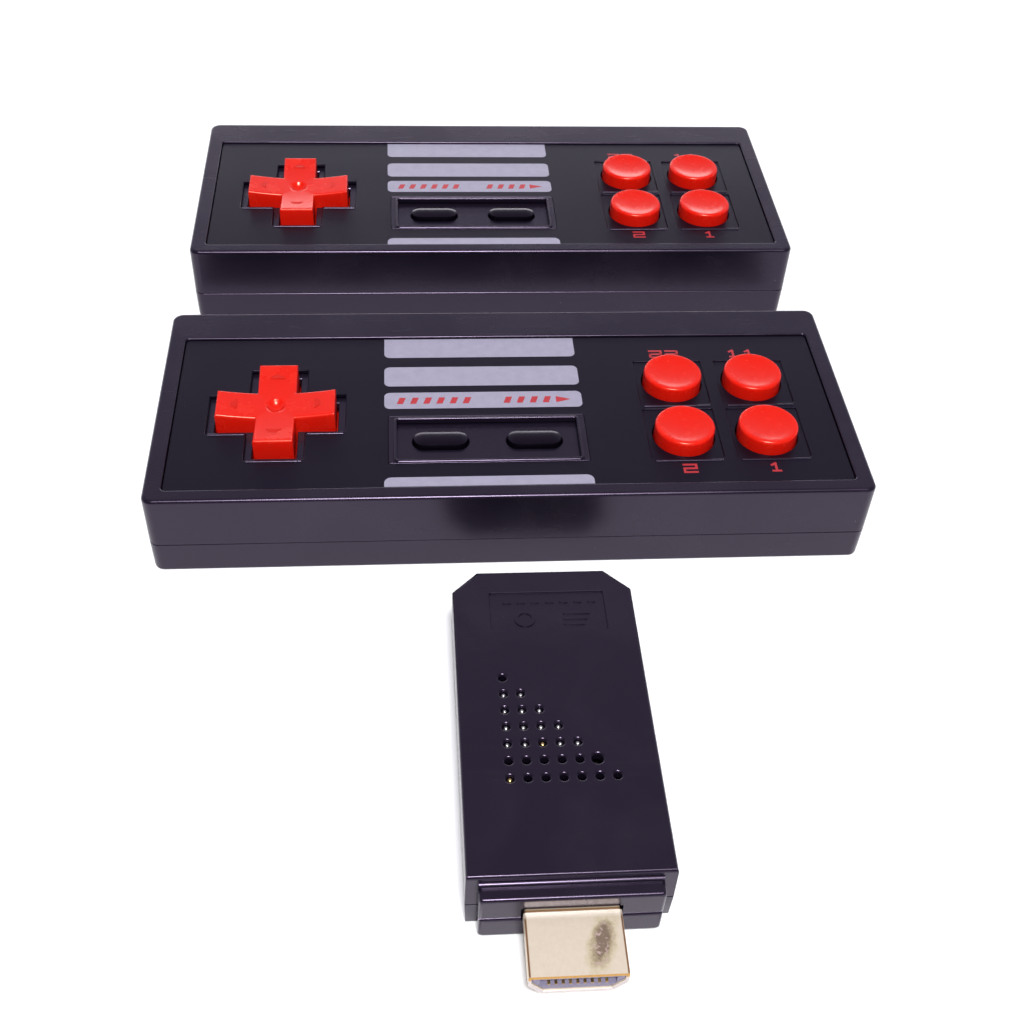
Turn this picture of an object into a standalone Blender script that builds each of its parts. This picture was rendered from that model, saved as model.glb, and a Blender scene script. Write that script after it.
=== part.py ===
"""A plug-in game console stick with two wireless controllers.

The stick carries a video plug at its near end and holds the console's board.  Each controller is
a flat box with a cross pad, two pill buttons and four round buttons, and it runs on two AAA cells.
Every shape is drawn in millimetres in the frame of its own device and scaled to metres when its
mesh is made.  Each device's own origin is the centre of its footprint on the table.
"""
import math

import bmesh
import bpy
from mathutils import Matrix, Vector

MM = 0.001
GAP = 0.3

# ---------------------------------------------------------------- places of the three devices
TOTAL_DEPTH = 211.8
PAD_SHIFT_X = 0.35
PAD_PLACES = {
    "controller_1": (-PAD_SHIFT_X, 4.35),
    "controller_2": (PAD_SHIFT_X, 79.15),
}
STICK_X = 2.85

# ---------------------------------------------------------------- controller case
PAD_LENGTH = 128.7
PAD_WIDTH = 53.5
PAD_HEIGHT = 17.0
PAD_CORNER = 1.9
PAD_WALL = 1.8
PAD_FLOOR = 1.8
PAD_PARTING = 6.3
PAD_CEILING = 14.2
RIM_BEVEL = 0.3
FOOT_INSET = 0.1

# face panel, let into the top of the case: a box x0, x1, y0, y1
PANEL = (-61.0, 61.0, -23.65, 18.35)
PANEL_SEAT = 15.6
PANEL_TOP = 16.6
WINDOW = (-20.9, 13.1, -16.25, -5.05)
WELL_COLUMNS = ((25.2, 38.4), (41.0, 54.4))
WELL_ROWS = ((-18.05, -3.6), (-2.4, 10.7))

# ---------------------------------------------------------------- keys
BUTTON_RADIUS = 5.5
BUTTON_TOP = 19.05
BUTTON_FLANGE_RADIUS = 6.7
FLANGE_BASE = 12.7
FLANGE_TOP = PAD_CEILING - GAP
BUTTON_PLACES = {
    "button_rear_left": (31.9, 4.5),
    "button_rear_right": (47.4, 4.5),
    "button_front_left": (31.9, -10.75),
    "button_front_right": (47.4, -10.75),
}
PILL_LENGTH = 9.7
PILL_WIDTH = 3.8
PILL_TOP = 16.85
PILL_FLANGE = 0.9
PILL_PLACES = {
    "select_button": (-12.7, -10.8),
    "start_button": (4.4, -10.8),
}
CROSS_CENTRE = (-42.5, -3.5)
CROSS_SPAN = 21.5
CROSS_ARM = 7.1
CROSS_TIP_TOP = 19.5
CROSS_MIDDLE_TOP = 18.6
CROSS_FLANGE_RADIUS = 13.2
CROSS_FLANGE = (11.8, 12.7)
CROSS_HOLE_SPAN = 25.0
CROSS_HOLE_ARM = 10.5
CROSS_CLEARANCE = 0.8
PIVOT_HEIGHT = 12.0
PIVOT_RADIUS = 1.5

# ---------------------------------------------------------------- inside the controller
BOARD = (9.0, 10.2)
MEMBRANE_BASE = BOARD[1] + GAP
MEMBRANE_SHEET = 0.5
BOSS_X = 58.0
BOSS_Y = 20.8
BOSS_RADIUS = 2.8
SCREW_RADIUS = 0.95
SCREW_HEAD_RADIUS = 2.0
SCREW_HEAD = (1.5, 2.9)
SCREW_TIP = 11.5
POST_TOP = 6.2

# battery bay: inside box x0, x1, y0, y1, its ceiling, and the two AAA cells lying along X
BAY = (-26.6, 22.6, 2.45, 23.65)
BAY_CEILING = 12.6
BAY_WALL = 1.0
DOOR_THICKNESS = 1.5
CELL_LENGTH = 44.4
CELL_RADIUS = 5.1
CELL_HEIGHT = 7.2
CELL_Y = {"battery_front": 7.75, "battery_rear": 18.35}
CELL_X = {"battery_front": -1.1, "battery_rear": -2.9}
PLATE = 0.4

# ---------------------------------------------------------------- console stick
STICK_WIDTH = 30.0
STICK_LENGTH = 57.5
STICK_HEIGHT = 12.4
STICK_CHAMFER = 4.2
STICK_WALL = 1.6
STICK_PARTING = 5.2
STICK_CEILING = 10.9
NECK_WIDTH = 26.4
NECK_LENGTH = 2.5
NECK_HEIGHT = (0.6, 10.4)
PLUG_WIDTH = 13.9
PLUG_HEIGHT = 4.45
PLUG_LENGTH = 10.1
PLUG_MIDDLE = 5.475
PLUG_SHEET = 0.35
PLUG_BACK = 5.5
LABEL_RECESS = (-8.9, 10.1, 15.45, 23.95)
LABEL_DEPTH = 0.35
VENT_START = (-7.75, 6.15)
VENT_PITCH = (2.667, 3.12)
VENT_ROWS = 7
VENT_RADIUS = 0.6
MAIN_BOARD = (4.9, 6.1)
USB_SIZE = (7.6, 5.4, 2.6)
CHIPS = {
    "processor": ((-4.0, -8.0), (10.0, 10.0, 1.2)),
    "flash_memory": ((6.8, -6.0), (8.0, 11.0, 1.0)),
    "crystal": ((5.5, 4.5), (5.0, 2.0, 1.4)),
    "wireless_module": ((-4.5, 9.0), (12.0, 9.0, 1.8)),
}


# ================================================================ outlines
def arc(centre, radius, start, end, steps):
    """Points along an arc, angles in degrees."""
    points = []
    for i in range(steps + 1):
        angle = math.radians(start + (end - start) * i / steps)
        points.append((centre[0] + radius * math.cos(angle), centre[1] + radius * math.sin(angle)))
    return points


def rounded_box(x0, x1, y0, y1, radius, steps=4):
    """A rectangle with round corners, counter-clockwise."""
    return (
        arc((x1 - radius, y0 + radius), radius, -90, 0, steps)
        + arc((x1 - radius, y1 - radius), radius, 0, 90, steps)
        + arc((x0 + radius, y1 - radius), radius, 90, 180, steps)
        + arc((x0 + radius, y0 + radius), radius, 180, 270, steps)
    )


def rectangle(x0, x1, y0, y1):
    return [(x0, y0), (x1, y0), (x1, y1), (x0, y1)]


def circle(centre, radius, steps):
    return arc(centre, radius, 0, 360 - 360 / steps, steps - 1)


def stadium(centre, length, width, steps=6):
    half = (length - width) / 2
    right = arc((centre[0] + half, centre[1]), width / 2, -90, 90, steps)
    left = arc((centre[0] - half, centre[1]), width / 2, 90, 270, steps)
    return right + left


def cross(centre, span, arm):
    s = span / 2
    a = arm / 2
    points = [(a, -s), (a, -a), (s, -a), (s, a), (a, a), (a, s),
              (-a, s), (-a, a), (-s, a), (-s, -a), (-a, -a), (-a, -s)]
    return [(centre[0] + x, centre[1] + y) for x, y in points]


def stick_outline(inset, chamfer=STICK_CHAMFER):
    """The console stick's plan: a rectangle whose two far corners are cut off."""
    x = STICK_WIDTH / 2 - inset
    y = STICK_LENGTH / 2 - inset
    return [(-x, -y), (x, -y), (x, y - chamfer), (x - chamfer, y), (-x + chamfer, y), (-x, y - chamfer)]


def plug_outline(grow):
    """The video plug's section in X and Z: square shoulders above, lower corners cut in."""
    half = PLUG_WIDTH / 2 + grow
    foot = half - 1.75
    top = PLUG_HEIGHT / 2 + grow
    return [(-foot, -top), (foot, -top), (half, -top + 2.0), (half, top), (-half, top), (-half, -top + 2.0)]


# ================================================================ solids
def make_object(name, bm):
    """Turn a bmesh in millimetres into an object whose mesh is in metres."""
    bmesh.ops.recalc_face_normals(bm, faces=bm.faces)
    bmesh.ops.scale(bm, vec=Vector((MM, MM, MM)), verts=bm.verts)
    mesh = bpy.data.meshes.new(name)
    bm.to_mesh(mesh)
    bm.free()
    obj = bpy.data.objects.new(name, mesh)
    bpy.context.scene.collection.objects.link(obj)
    return obj


def loft(name, rings):
    """A closed solid through rings of equally many points, each ring a list of (x, y, z)."""
    bm = bmesh.new()
    rows = [[bm.verts.new(point) for point in ring] for ring in rings]
    for low, high in zip(rows, rows[1:]):
        for i in range(len(low)):
            j = (i + 1) % len(low)
            bm.faces.new((low[i], low[j], high[j], high[i]))
    bm.faces.new(list(reversed(rows[0])))
    bm.faces.new(rows[-1])
    return make_object(name, bm)


def prism(name, outline, low, high):
    """An outline in X and Y, raised from low to high."""
    return loft(name, [[(x, y, z) for x, y in outline] for z in (low, high)])


def prism_along_y(name, outline, y0, y1):
    """An outline in X and Z, run from y0 to y1."""
    return loft(name, [[(x, y, z) for x, z in outline] for y in (y0, y1)])


def turned(name, profile, centre=(0.0, 0.0), segments=20):
    """A solid of revolution about a vertical axis; the profile's ends lie on the axis."""
    bm = bmesh.new()
    rows = []
    for radius, z in profile:
        if radius == 0:
            rows.append([bm.verts.new((centre[0], centre[1], z))])
        else:
            rows.append([bm.verts.new((x, y, z)) for x, y in circle(centre, radius, segments)])
    for low, high in zip(rows, rows[1:]):
        for i in range(segments):
            j = (i + 1) % segments
            corners = [low[i % len(low)], low[j % len(low)], high[j % len(high)], high[i % len(high)]]
            bm.faces.new(list(dict.fromkeys(corners)))
    return make_object(name, bm)


def combine(target, tools, operation):
    """Apply one Boolean after another, then remove the tools."""
    for tool in tools:
        modifier = target.modifiers.new("shape", "BOOLEAN")
        modifier.operation = operation
        modifier.solver = "EXACT"
        modifier.object = tool
        bpy.context.view_layer.update()
        evaluated = target.evaluated_get(bpy.context.evaluated_depsgraph_get())
        mesh = bpy.data.meshes.new_from_object(evaluated)
        target.modifiers.clear()
        target.data = mesh
        bpy.data.objects.remove(tool)
    return target


def cut(target, *tools):
    return combine(target, tools, "DIFFERENCE")


def join(target, *tools):
    return combine(target, tools, "UNION")


def round_off(obj, angle=35):
    """Shade a round piece smooth, and keep its real edges sharp."""
    obj.data.shade_smooth()
    obj.data.set_sharp_from_angle(angle=math.radians(angle))
    return obj


# ================================================================ materials
def material(name, color, roughness, metallic=0.0):
    finish = bpy.data.materials.new(name)
    finish.use_nodes = True
    shader = finish.node_tree.nodes["Principled BSDF"]
    shader.inputs["Base Color"].default_value = (*color, 1.0)
    shader.inputs["Roughness"].default_value = roughness
    shader.inputs["Metallic"].default_value = metallic
    return finish


def make_materials():
    return {
        "case": material("case_black", (0.020, 0.017, 0.026), 0.32),
        "panel": material("panel_black", (0.014, 0.012, 0.018), 0.38),
        "red": material("key_red", (0.62, 0.045, 0.028), 0.28),
        "pill": material("pill_black", (0.008, 0.008, 0.010), 0.18),
        "board": material("board_green", (0.03, 0.16, 0.07), 0.45),
        "rubber": material("membrane_rubber", (0.35, 0.36, 0.38), 0.75),
        "steel": material("spring_steel", (0.62, 0.62, 0.60), 0.30, 1.0),
        "cell": material("cell_jacket", (0.10, 0.22, 0.12), 0.35, 0.3),
        "chip": material("chip_black", (0.02, 0.02, 0.02), 0.55),
        "gilt": material("plug_gilt", (0.78, 0.66, 0.40), 0.28, 1.0),
        "insulator": material("plug_insulator", (0.03, 0.03, 0.035), 0.5),
    }


# ================================================================ controller pieces
def case_ring(inset, z):
    x = PAD_LENGTH / 2 - inset
    y = PAD_WIDTH / 2 - inset
    return [(px, py, z) for px, py in rounded_box(-x, x, -y, y, PAD_CORNER - 0.5 * inset)]


def case_cavity(low, high):
    x = PAD_LENGTH / 2 - PAD_WALL
    y = PAD_WIDTH / 2 - PAD_WALL
    return prism("cavity", rounded_box(-x, x, -y, y, 1.0, 2), low, high)


def boss_places():
    return [(sx * BOSS_X, sy * BOSS_Y) for sx in (-1, 1) for sy in (-1, 1)]


def top_shell():
    """The upper half: rim, panel seat, key holes and four screw bosses."""
    low = PAD_PARTING + GAP / 2
    shell = loft("top_shell", [
        case_ring(0.0, low),
        case_ring(0.0, PAD_HEIGHT - RIM_BEVEL),
        case_ring(RIM_BEVEL, PAD_HEIGHT),
    ])
    x0, x1, y0, y1 = PANEL
    seat = prism("seat", rounded_box(x0 - GAP, x1 + GAP, y0 - GAP, y1 + GAP, 0.8, 2),
                 PANEL_SEAT, PAD_HEIGHT + 1)
    cut(shell, case_cavity(low - 1, PAD_CEILING), seat)
    for place in boss_places():
        join(shell, prism("boss", circle(place, BOSS_RADIUS, 12), POST_TOP + GAP, PAD_CEILING + 0.5))
        cut(shell, prism("bore", circle(place, SCREW_RADIUS + GAP, 10), POST_TOP, SCREW_TIP + GAP))
    for place in BUTTON_PLACES.values():
        cut(shell, prism("hole", circle(place, BUTTON_RADIUS + 0.35, 24), PAD_CEILING - 1, PAD_HEIGHT))
    for place in PILL_PLACES.values():
        hole = stadium(place, PILL_LENGTH + 0.6, PILL_WIDTH + 0.6)
        cut(shell, prism("hole", hole, PAD_CEILING - 1, PAD_HEIGHT))
    hole = cross(CROSS_CENTRE, CROSS_SPAN + 2 * CROSS_CLEARANCE, CROSS_ARM + 2 * CROSS_CLEARANCE)
    cut(shell, prism("hole", hole, PAD_CEILING - 1, PAD_HEIGHT))
    return shell


def bottom_shell():
    """The lower half: floor, screw posts, board posts and the battery bay's roof and walls."""
    high = PAD_PARTING - GAP / 2
    shell = loft("bottom_shell", [
        case_ring(FOOT_INSET + 0.3, 0.0),
        case_ring(FOOT_INSET, 0.5),
        case_ring(0.0, high),
    ])
    cut(shell, case_cavity(PAD_FLOOR, high + 1))
    x0, x1, y0, y1 = BAY
    roof = BAY_CEILING + BAY_WALL
    join(shell, prism("bay", rectangle(x0 - BAY_WALL, x1 + BAY_WALL, y0 - BAY_WALL, y1 + BAY_WALL),
                      PAD_FLOOR - 0.5, roof))
    cut(shell, prism("bay_inside", rectangle(*BAY), -1, BAY_CEILING))
    for place in boss_places():
        join(shell, prism("post", circle(place, BOSS_RADIUS + 0.2, 12), PAD_FLOOR - 0.5, POST_TOP))
        cut(shell,
            prism("bore", circle(place, SCREW_RADIUS + GAP, 10), 0.5, POST_TOP + 1),
            prism("sink", circle(place, SCREW_HEAD_RADIUS + GAP, 12), -1, SCREW_HEAD[1] + GAP))
    for x in (-50.0, 50.0):
        for y in (-15.0, 10.0):
            join(shell, prism("rest", circle((x, y), 1.8, 8), PAD_FLOOR - 0.5, BOARD[0] - GAP))
    return shell


def face_panel():
    """The sunk face plate, with its square wells, the menu window and the cross opening."""
    x0, x1, y0, y1 = PANEL
    panel = prism("face_panel", rounded_box(x0, x1, y0, y1, 0.6, 2), PANEL_SEAT + GAP, PANEL_TOP)
    tools = [prism("window", rounded_box(*WINDOW, 0.8, 2), PANEL_SEAT, PAD_HEIGHT)]
    for left, right in WELL_COLUMNS:
        for near, far in WELL_ROWS:
            tools.append(prism("well", rounded_box(left, right, near, far, 0.6, 2),
                               PANEL_SEAT, PAD_HEIGHT))
    hole = cross(CROSS_CENTRE, CROSS_HOLE_SPAN, CROSS_HOLE_ARM)
    tools.append(prism("cross", hole, PANEL_SEAT, PAD_HEIGHT))
    return cut(panel, *tools)


def battery_door():
    """The bay's cover, with a finger notch at its latch edge; it hinges on its near edge."""
    x0, x1, y0, y1 = BAY
    door = prism("battery_door", rectangle(x0 + GAP, x1 - GAP, y0 + GAP, y1 - GAP), 0.0, DOOR_THICKNESS)
    middle = (x0 + x1) / 2
    return cut(door, prism("notch", stadium((middle, y1 - 2.6), 9.0, 2.4), -1, 0.8))


def round_button():
    """A round key with a dished top and a flange that holds it under the case."""
    r = BUTTON_RADIUS
    return round_off(turned("round_button", [
        (0, FLANGE_BASE), (BUTTON_FLANGE_RADIUS, FLANGE_BASE), (BUTTON_FLANGE_RADIUS, FLANGE_TOP),
        (r, FLANGE_TOP), (r, BUTTON_TOP - 0.6), (r - 0.3, BUTTON_TOP - 0.1), (r - 0.8, BUTTON_TOP),
        (r - 2.2, BUTTON_TOP - 0.3), (0, BUTTON_TOP - 0.5),
    ]))


def pill_button():
    """A flat pill-shaped key on a flange."""
    flange = stadium((0, 0), PILL_LENGTH + 2 * PILL_FLANGE, PILL_WIDTH + 2 * PILL_FLANGE)
    stem = stadium((0, 0), PILL_LENGTH, PILL_WIDTH)
    crown = stadium((0, 0), PILL_LENGTH - 0.7, PILL_WIDTH - 0.7)
    rings = [(flange, FLANGE_BASE), (flange, FLANGE_TOP), (stem, FLANGE_TOP),
             (stem, PILL_TOP - 0.4), (crown, PILL_TOP)]
    return round_off(loft("pill_button", [[(x, y, z) for x, y in ring] for ring, z in rings]))


def cross_pad():
    """The cross key: four arms that fall towards the middle, on a round flange with a socket."""
    bm = bmesh.new()
    outline = cross((0, 0), CROSS_SPAN, CROSS_ARM)
    low = [bm.verts.new((x, y, CROSS_FLANGE[0] + 0.5)) for x, y in outline]
    high = []
    for x, y in outline:
        tip = max(abs(x), abs(y)) > CROSS_ARM
        high.append(bm.verts.new((x, y, CROSS_TIP_TOP if tip else CROSS_MIDDLE_TOP)))
    for i in range(12):
        j = (i + 1) % 12
        bm.faces.new((low[i], low[j], high[j], high[i]))
    bm.faces.new(list(reversed(low)))
    bm.faces.new([high[i] for i in (1, 4, 7, 10)])
    for a, b, c, d in ((0, 1, 10, 11), (2, 3, 4, 1), (5, 6, 7, 4), (8, 9, 10, 7)):
        bm.faces.new([high[a], high[b], high[c], high[d]])
    bmesh.ops.recalc_face_normals(bm, faces=bm.faces)
    rim = [e for e in bm.edges if sum(v in high for v in e.verts) == 2 and e.calc_face_angle(0) > 1]
    bmesh.ops.bevel(bm, geom=rim, offset=0.35, segments=2, profile=0.5, affect="EDGES")
    pad = make_object("dpad", bm)
    flange = prism("flange", circle((0, 0), CROSS_FLANGE_RADIUS, 32), *CROSS_FLANGE)
    join(pad, flange)
    socket = prism("socket", circle((0, 0), PIVOT_RADIUS + 0.5, 12), CROSS_FLANGE[0] - 1,
                   PIVOT_HEIGHT + PIVOT_RADIUS + 0.5)
    return cut(pad, socket)


def ball(name, radius):
    """A small ball about the origin."""
    steps = 6
    angles = [math.pi * i / steps - math.pi / 2 for i in range(steps + 1)]
    profile = [(radius * math.cos(a), radius * math.sin(a)) for a in angles]
    profile[0] = (0, -radius)
    profile[-1] = (0, radius)
    return round_off(turned(name, profile, segments=12))


def circuit_board():
    """One board that runs round the battery bay and clears the screw bosses."""
    x, near, far = 60.5, -23.3, 16.5
    notch_x, notch_y = 53.5, -16.5
    bay_left = BAY[0] - BAY_WALL - 1
    bay_right = BAY[1] + BAY_WALL + 1
    bay_near = BAY[2] - BAY_WALL - 1
    outline = [
        (-notch_x, near), (notch_x, near), (notch_x, notch_y), (x, notch_y), (x, far),
        (bay_right, far), (bay_right, bay_near), (bay_left, bay_near), (bay_left, far),
        (-x, far), (-x, notch_y), (-notch_x, notch_y),
    ]
    return prism("circuit_board", outline, *BOARD)


def dome(place, base, radius, height):
    """One rubber dome: a short cone with a flat crown."""
    bottom = [(x, y, base) for x, y in circle(place, radius, 12)]
    crown = [(x, y, base + height) for x, y in circle(place, 0.7 * radius, 12)]
    return loft("dome", [bottom, crown])


def membrane(name, box, places, radius, top, hole=None):
    """A rubber sheet on the board with a dome under each key."""
    sheet = prism(name, rounded_box(*box, 1.5, 2), MEMBRANE_BASE, MEMBRANE_BASE + MEMBRANE_SHEET)
    for place in places:
        base = MEMBRANE_BASE + 0.5 * MEMBRANE_SHEET
        join(sheet, dome(place, base, radius, top - base))
    if hole:
        cut(sheet, prism("hole", circle(hole, PIVOT_RADIUS + 1.0, 12), MEMBRANE_BASE - 1, top + 1))
    return sheet


def dpad_membrane():
    cx, cy = CROSS_CENTRE
    arm = 7.2
    places = [(cx + arm, cy), (cx, cy + arm), (cx - arm, cy), (cx, cy - arm)]
    box = (cx - 12.2, cx + 12.2, cy - 12.2, cy + 12.2)
    return membrane("dpad_membrane", box, places, 2.8, CROSS_FLANGE[0] - GAP, CROSS_CENTRE)


def menu_membrane():
    return membrane("menu_membrane", (-20.0, 12.0, -15.6, -6.0), PILL_PLACES.values(), 3.0,
                    FLANGE_BASE - GAP)


def action_membrane():
    return membrane("action_membrane", (24.0, 54.8, -19.0, 11.0), BUTTON_PLACES.values(), 4.4,
                    FLANGE_BASE - GAP)


def battery(name):
    """An AAA cell lying along X, its plus end towards +X."""
    half = CELL_LENGTH / 2
    profile = [(0, -half), (4.6, -half), (CELL_RADIUS, -half + 0.5), (CELL_RADIUS, half - 1.3),
               (4.6, half - 0.9), (1.9, half - 0.9), (1.9, half), (0, half)]
    cell = round_off(turned(name, profile, segments=16))
    cell.data.transform(Matrix.Rotation(math.pi / 2, 4, "Y"))
    return cell


def contact_link():
    """The strip that joins both cells at the left end of the bay, with one raised spring leaf."""
    wall = BAY[0] + GAP
    strip = prism("contact_link", rectangle(wall, wall + PLATE, 3.65, 22.65), 3.0, 11.0)
    y = CELL_Y["battery_front"]
    reach = CELL_X["battery_front"] - CELL_LENGTH / 2 - GAP
    leaf = [(wall + 0.1, y - 3.0), (wall + PLATE, y - 3.0), (reach, y), (wall + PLATE, y + 3.0),
            (wall + 0.1, y + 3.0)]
    return join(strip, prism("leaf", leaf, 5.4, 9.0))


def contact_positive():
    """The flat tab that the front cell's plus end meets."""
    wall = BAY[1] - GAP
    y = CELL_Y["battery_front"]
    return prism("contact_positive", rectangle(wall - PLATE, wall, y - 4.2, y + 4.2), 3.0, 11.0)


def contact_negative():
    """A cone of spring wire in front of the rear cell's minus end."""
    wire = 0.3
    turns = 3.5
    steps = 35
    wide, narrow = 3.8, 1.8
    start = BAY[1] - GAP - wire
    reach = CELL_X["battery_rear"] + CELL_LENGTH / 2 + GAP + wire
    sides = 5
    rings = []
    for i in range(steps + 1):
        t = i / steps
        angle = 2 * math.pi * turns * t
        radius = wide + (narrow - wide) * t
        out = Vector((0, math.cos(angle), math.sin(angle)))
        centre = Vector((start + (reach - start) * t, CELL_Y["battery_rear"], CELL_HEIGHT)) + radius * out
        ring = []
        for k in range(sides):
            a = 2 * math.pi * k / sides
            ring.append(centre + wire * (math.cos(a) * out + math.sin(a) * Vector((1, 0, 0))))
        rings.append(ring)
    return loft("contact_negative", rings)


def screw():
    """A pan-head screw with a plain shank and a cross recess in its head."""
    r = SCREW_HEAD_RADIUS
    low, high = SCREW_HEAD
    body = turned("screw", [
        (0, low), (r - 0.5, low), (r, low + 0.5), (r, high), (SCREW_RADIUS, high),
        (SCREW_RADIUS, SCREW_TIP - 1), (0, SCREW_TIP),
    ], segments=10)
    return cut(body, prism("recess", cross((0, 0), 2.4, 0.6), low - 1, low + 0.8))


# ================================================================ controller assembly
def place(name, mesh, holder, finish, position=(0.0, 0.0, 0.0), turn=0.0):
    """Put one named piece at a place, in millimetres, in its device's frame."""
    obj = bpy.data.objects.new(name, mesh)
    bpy.context.scene.collection.objects.link(obj)
    obj.parent = holder
    obj.location = Vector(position) * MM
    obj.rotation_euler = (0.0, 0.0, turn)
    if not mesh.materials:
        mesh.materials.append(finish)
    return obj


def recentre(obj, centre):
    """Move a mesh so that its object's origin can stand on the piece's own axis."""
    obj.data.transform(Matrix.Translation(-Vector(centre) * MM))
    return obj


def take_mesh(obj):
    """Keep the finished mesh, and drop the object it was made with."""
    mesh = obj.data
    bpy.data.objects.remove(obj)
    return mesh


def controller_pieces(finishes):
    """Every piece of one controller: name, mesh, finish, position and turn."""
    key_rest = (0, 0, FLANGE_BASE)
    button = take_mesh(recentre(round_button(), key_rest))
    pill = take_mesh(recentre(pill_button(), key_rest))
    screw_mesh = take_mesh(screw())
    hinge = (0.0, BAY[2] + GAP, 0.0)
    cross_axis = (*CROSS_CENTRE, PIVOT_HEIGHT)
    origin = (0.0, 0.0, 0.0)
    pieces = [
        ("top_shell", take_mesh(top_shell()), "case", origin, 0),
        ("bottom_shell", take_mesh(bottom_shell()), "case", origin, 0),
        ("face_panel", take_mesh(face_panel()), "panel", origin, 0),
        ("battery_door", take_mesh(recentre(battery_door(), hinge)), "case", hinge, 0),
        ("dpad", take_mesh(recentre(cross_pad(), (0, 0, PIVOT_HEIGHT))), "red", cross_axis, 0),
        ("dpad_pivot", take_mesh(ball("dpad_pivot", PIVOT_RADIUS)), "steel", cross_axis, 0),
        ("circuit_board", take_mesh(circuit_board()), "board", origin, 0),
        ("dpad_membrane", take_mesh(dpad_membrane()), "rubber", origin, 0),
        ("menu_membrane", take_mesh(menu_membrane()), "rubber", origin, 0),
        ("action_membrane", take_mesh(action_membrane()), "rubber", origin, 0),
        ("contact_link", take_mesh(contact_link()), "steel", origin, 0),
        ("contact_positive", take_mesh(contact_positive()), "steel", origin, 0),
        ("contact_negative", take_mesh(contact_negative()), "steel", origin, 0),
    ]
    for name, (x, y) in BUTTON_PLACES.items():
        pieces.append((name, button, "red", (x, y, FLANGE_BASE), 0))
    for name, (x, y) in PILL_PLACES.items():
        pieces.append((name, pill, "pill", (x, y, FLANGE_BASE), 0))
    cell = take_mesh(battery("cell"))
    for name in CELL_Y:
        turn = 0 if name == "battery_front" else math.pi
        pieces.append((name, cell, "cell", (CELL_X[name], CELL_Y[name], CELL_HEIGHT), turn))
    for i, (x, y) in enumerate(boss_places()):
        pieces.append((f"screw_{i + 1}", screw_mesh, "steel", (x, y, 0), 0))
    return [(name, mesh, finishes[finish], spot, turn) for name, mesh, finish, spot, turn in pieces]


def holder_at(name, x, y):
    empty = bpy.data.objects.new(name, None)
    bpy.context.scene.collection.objects.link(empty)
    empty.location = (x * MM, y * MM, 0.0)
    return empty


def build_controllers(finishes):
    pieces = controller_pieces(finishes)
    for controller, (x, y) in PAD_PLACES.items():
        holder = holder_at(controller, x, y)
        for name, mesh, finish, position, turn in pieces:
            place(f"{controller}_{name}", mesh, holder, finish, position, turn)


# ================================================================ console stick pieces
NEAR_FACE = -STICK_LENGTH / 2
NECK_FACE = NEAR_FACE - NECK_LENGTH
PLUG_TIP = NECK_FACE - PLUG_LENGTH
BOARD_NEAR = NEAR_FACE + PLUG_BACK + 2 * GAP


def stick_ring(inset, z):
    return [(x, y, z) for x, y in stick_outline(inset)]


def neck(low, high):
    """The collar round the plug, from inside the near wall to its front face."""
    half = NECK_WIDTH / 2
    return prism("neck", rectangle(-half, half, NECK_FACE, NEAR_FACE + 1.0), low, high)


def plug_way():
    """The opening that the plug passes through in the neck and the near wall."""
    outline = [(x, z + PLUG_MIDDLE) for x, z in plug_outline(GAP)]
    return prism_along_y("plug_way", outline, NECK_FACE - 1, NEAR_FACE + PLUG_BACK)


def upper_shell():
    """The top half, with its label recess, the triangle of vent holes and the power opening."""
    low = STICK_PARTING + GAP / 2
    shell = loft("upper_shell", [
        stick_ring(0.0, low), stick_ring(0.1, STICK_HEIGHT - 0.25), stick_ring(0.35, STICK_HEIGHT)])
    cavity = stick_outline(STICK_WALL, STICK_CHAMFER - 0.6)
    join(shell, neck(low, NECK_HEIGHT[1]))
    cut(shell, prism("cavity", cavity, low - 1, STICK_CEILING), plug_way())
    cut(shell, prism("label", rounded_box(*LABEL_RECESS, 0.4, 2), STICK_HEIGHT - LABEL_DEPTH,
                     STICK_HEIGHT + 1))
    for row in range(VENT_ROWS):
        for column in range(row + 1):
            spot = (VENT_START[0] + column * VENT_PITCH[0], VENT_START[1] - row * VENT_PITCH[1])
            cut(shell, prism("vent", circle(spot, VENT_RADIUS, 8), STICK_CEILING - 1, STICK_HEIGHT + 1))
    half = USB_SIZE[0] / 2 + GAP
    low = MAIN_BOARD[1]
    power = prism("power", rectangle(-half, half, STICK_LENGTH / 2 - 4, STICK_LENGTH / 2 + 1),
                  low, low + USB_SIZE[2] + 2 * GAP)
    return cut(shell, power)


def lower_shell():
    """The bottom half, with four posts that carry the board."""
    high = STICK_PARTING - GAP / 2
    shell = loft("lower_shell", [
        stick_ring(0.6, 0.0), stick_ring(0.15, 0.45), stick_ring(0.0, high)])
    cavity = stick_outline(STICK_WALL, STICK_CHAMFER - 0.6)
    join(shell, neck(NECK_HEIGHT[0], high))
    cut(shell, prism("cavity", cavity, STICK_WALL, high + 1), plug_way())
    for x in (-10.5, 10.5):
        for y in (-19.5, 19.5):
            join(shell, prism("post", circle((x, y), 1.4, 8), STICK_WALL - 0.5, MAIN_BOARD[0] - GAP))
    return shell


def main_board():
    half = STICK_WIDTH / 2 - STICK_WALL - 0.8
    far = STICK_LENGTH / 2 - STICK_WALL - 1.0
    corner = 3.0
    outline = [(-half, BOARD_NEAR), (half, BOARD_NEAR), (half, far - corner), (half - corner, far),
               (-half + corner, far), (-half, far - corner)]
    return prism("main_board", outline, *MAIN_BOARD)


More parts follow.
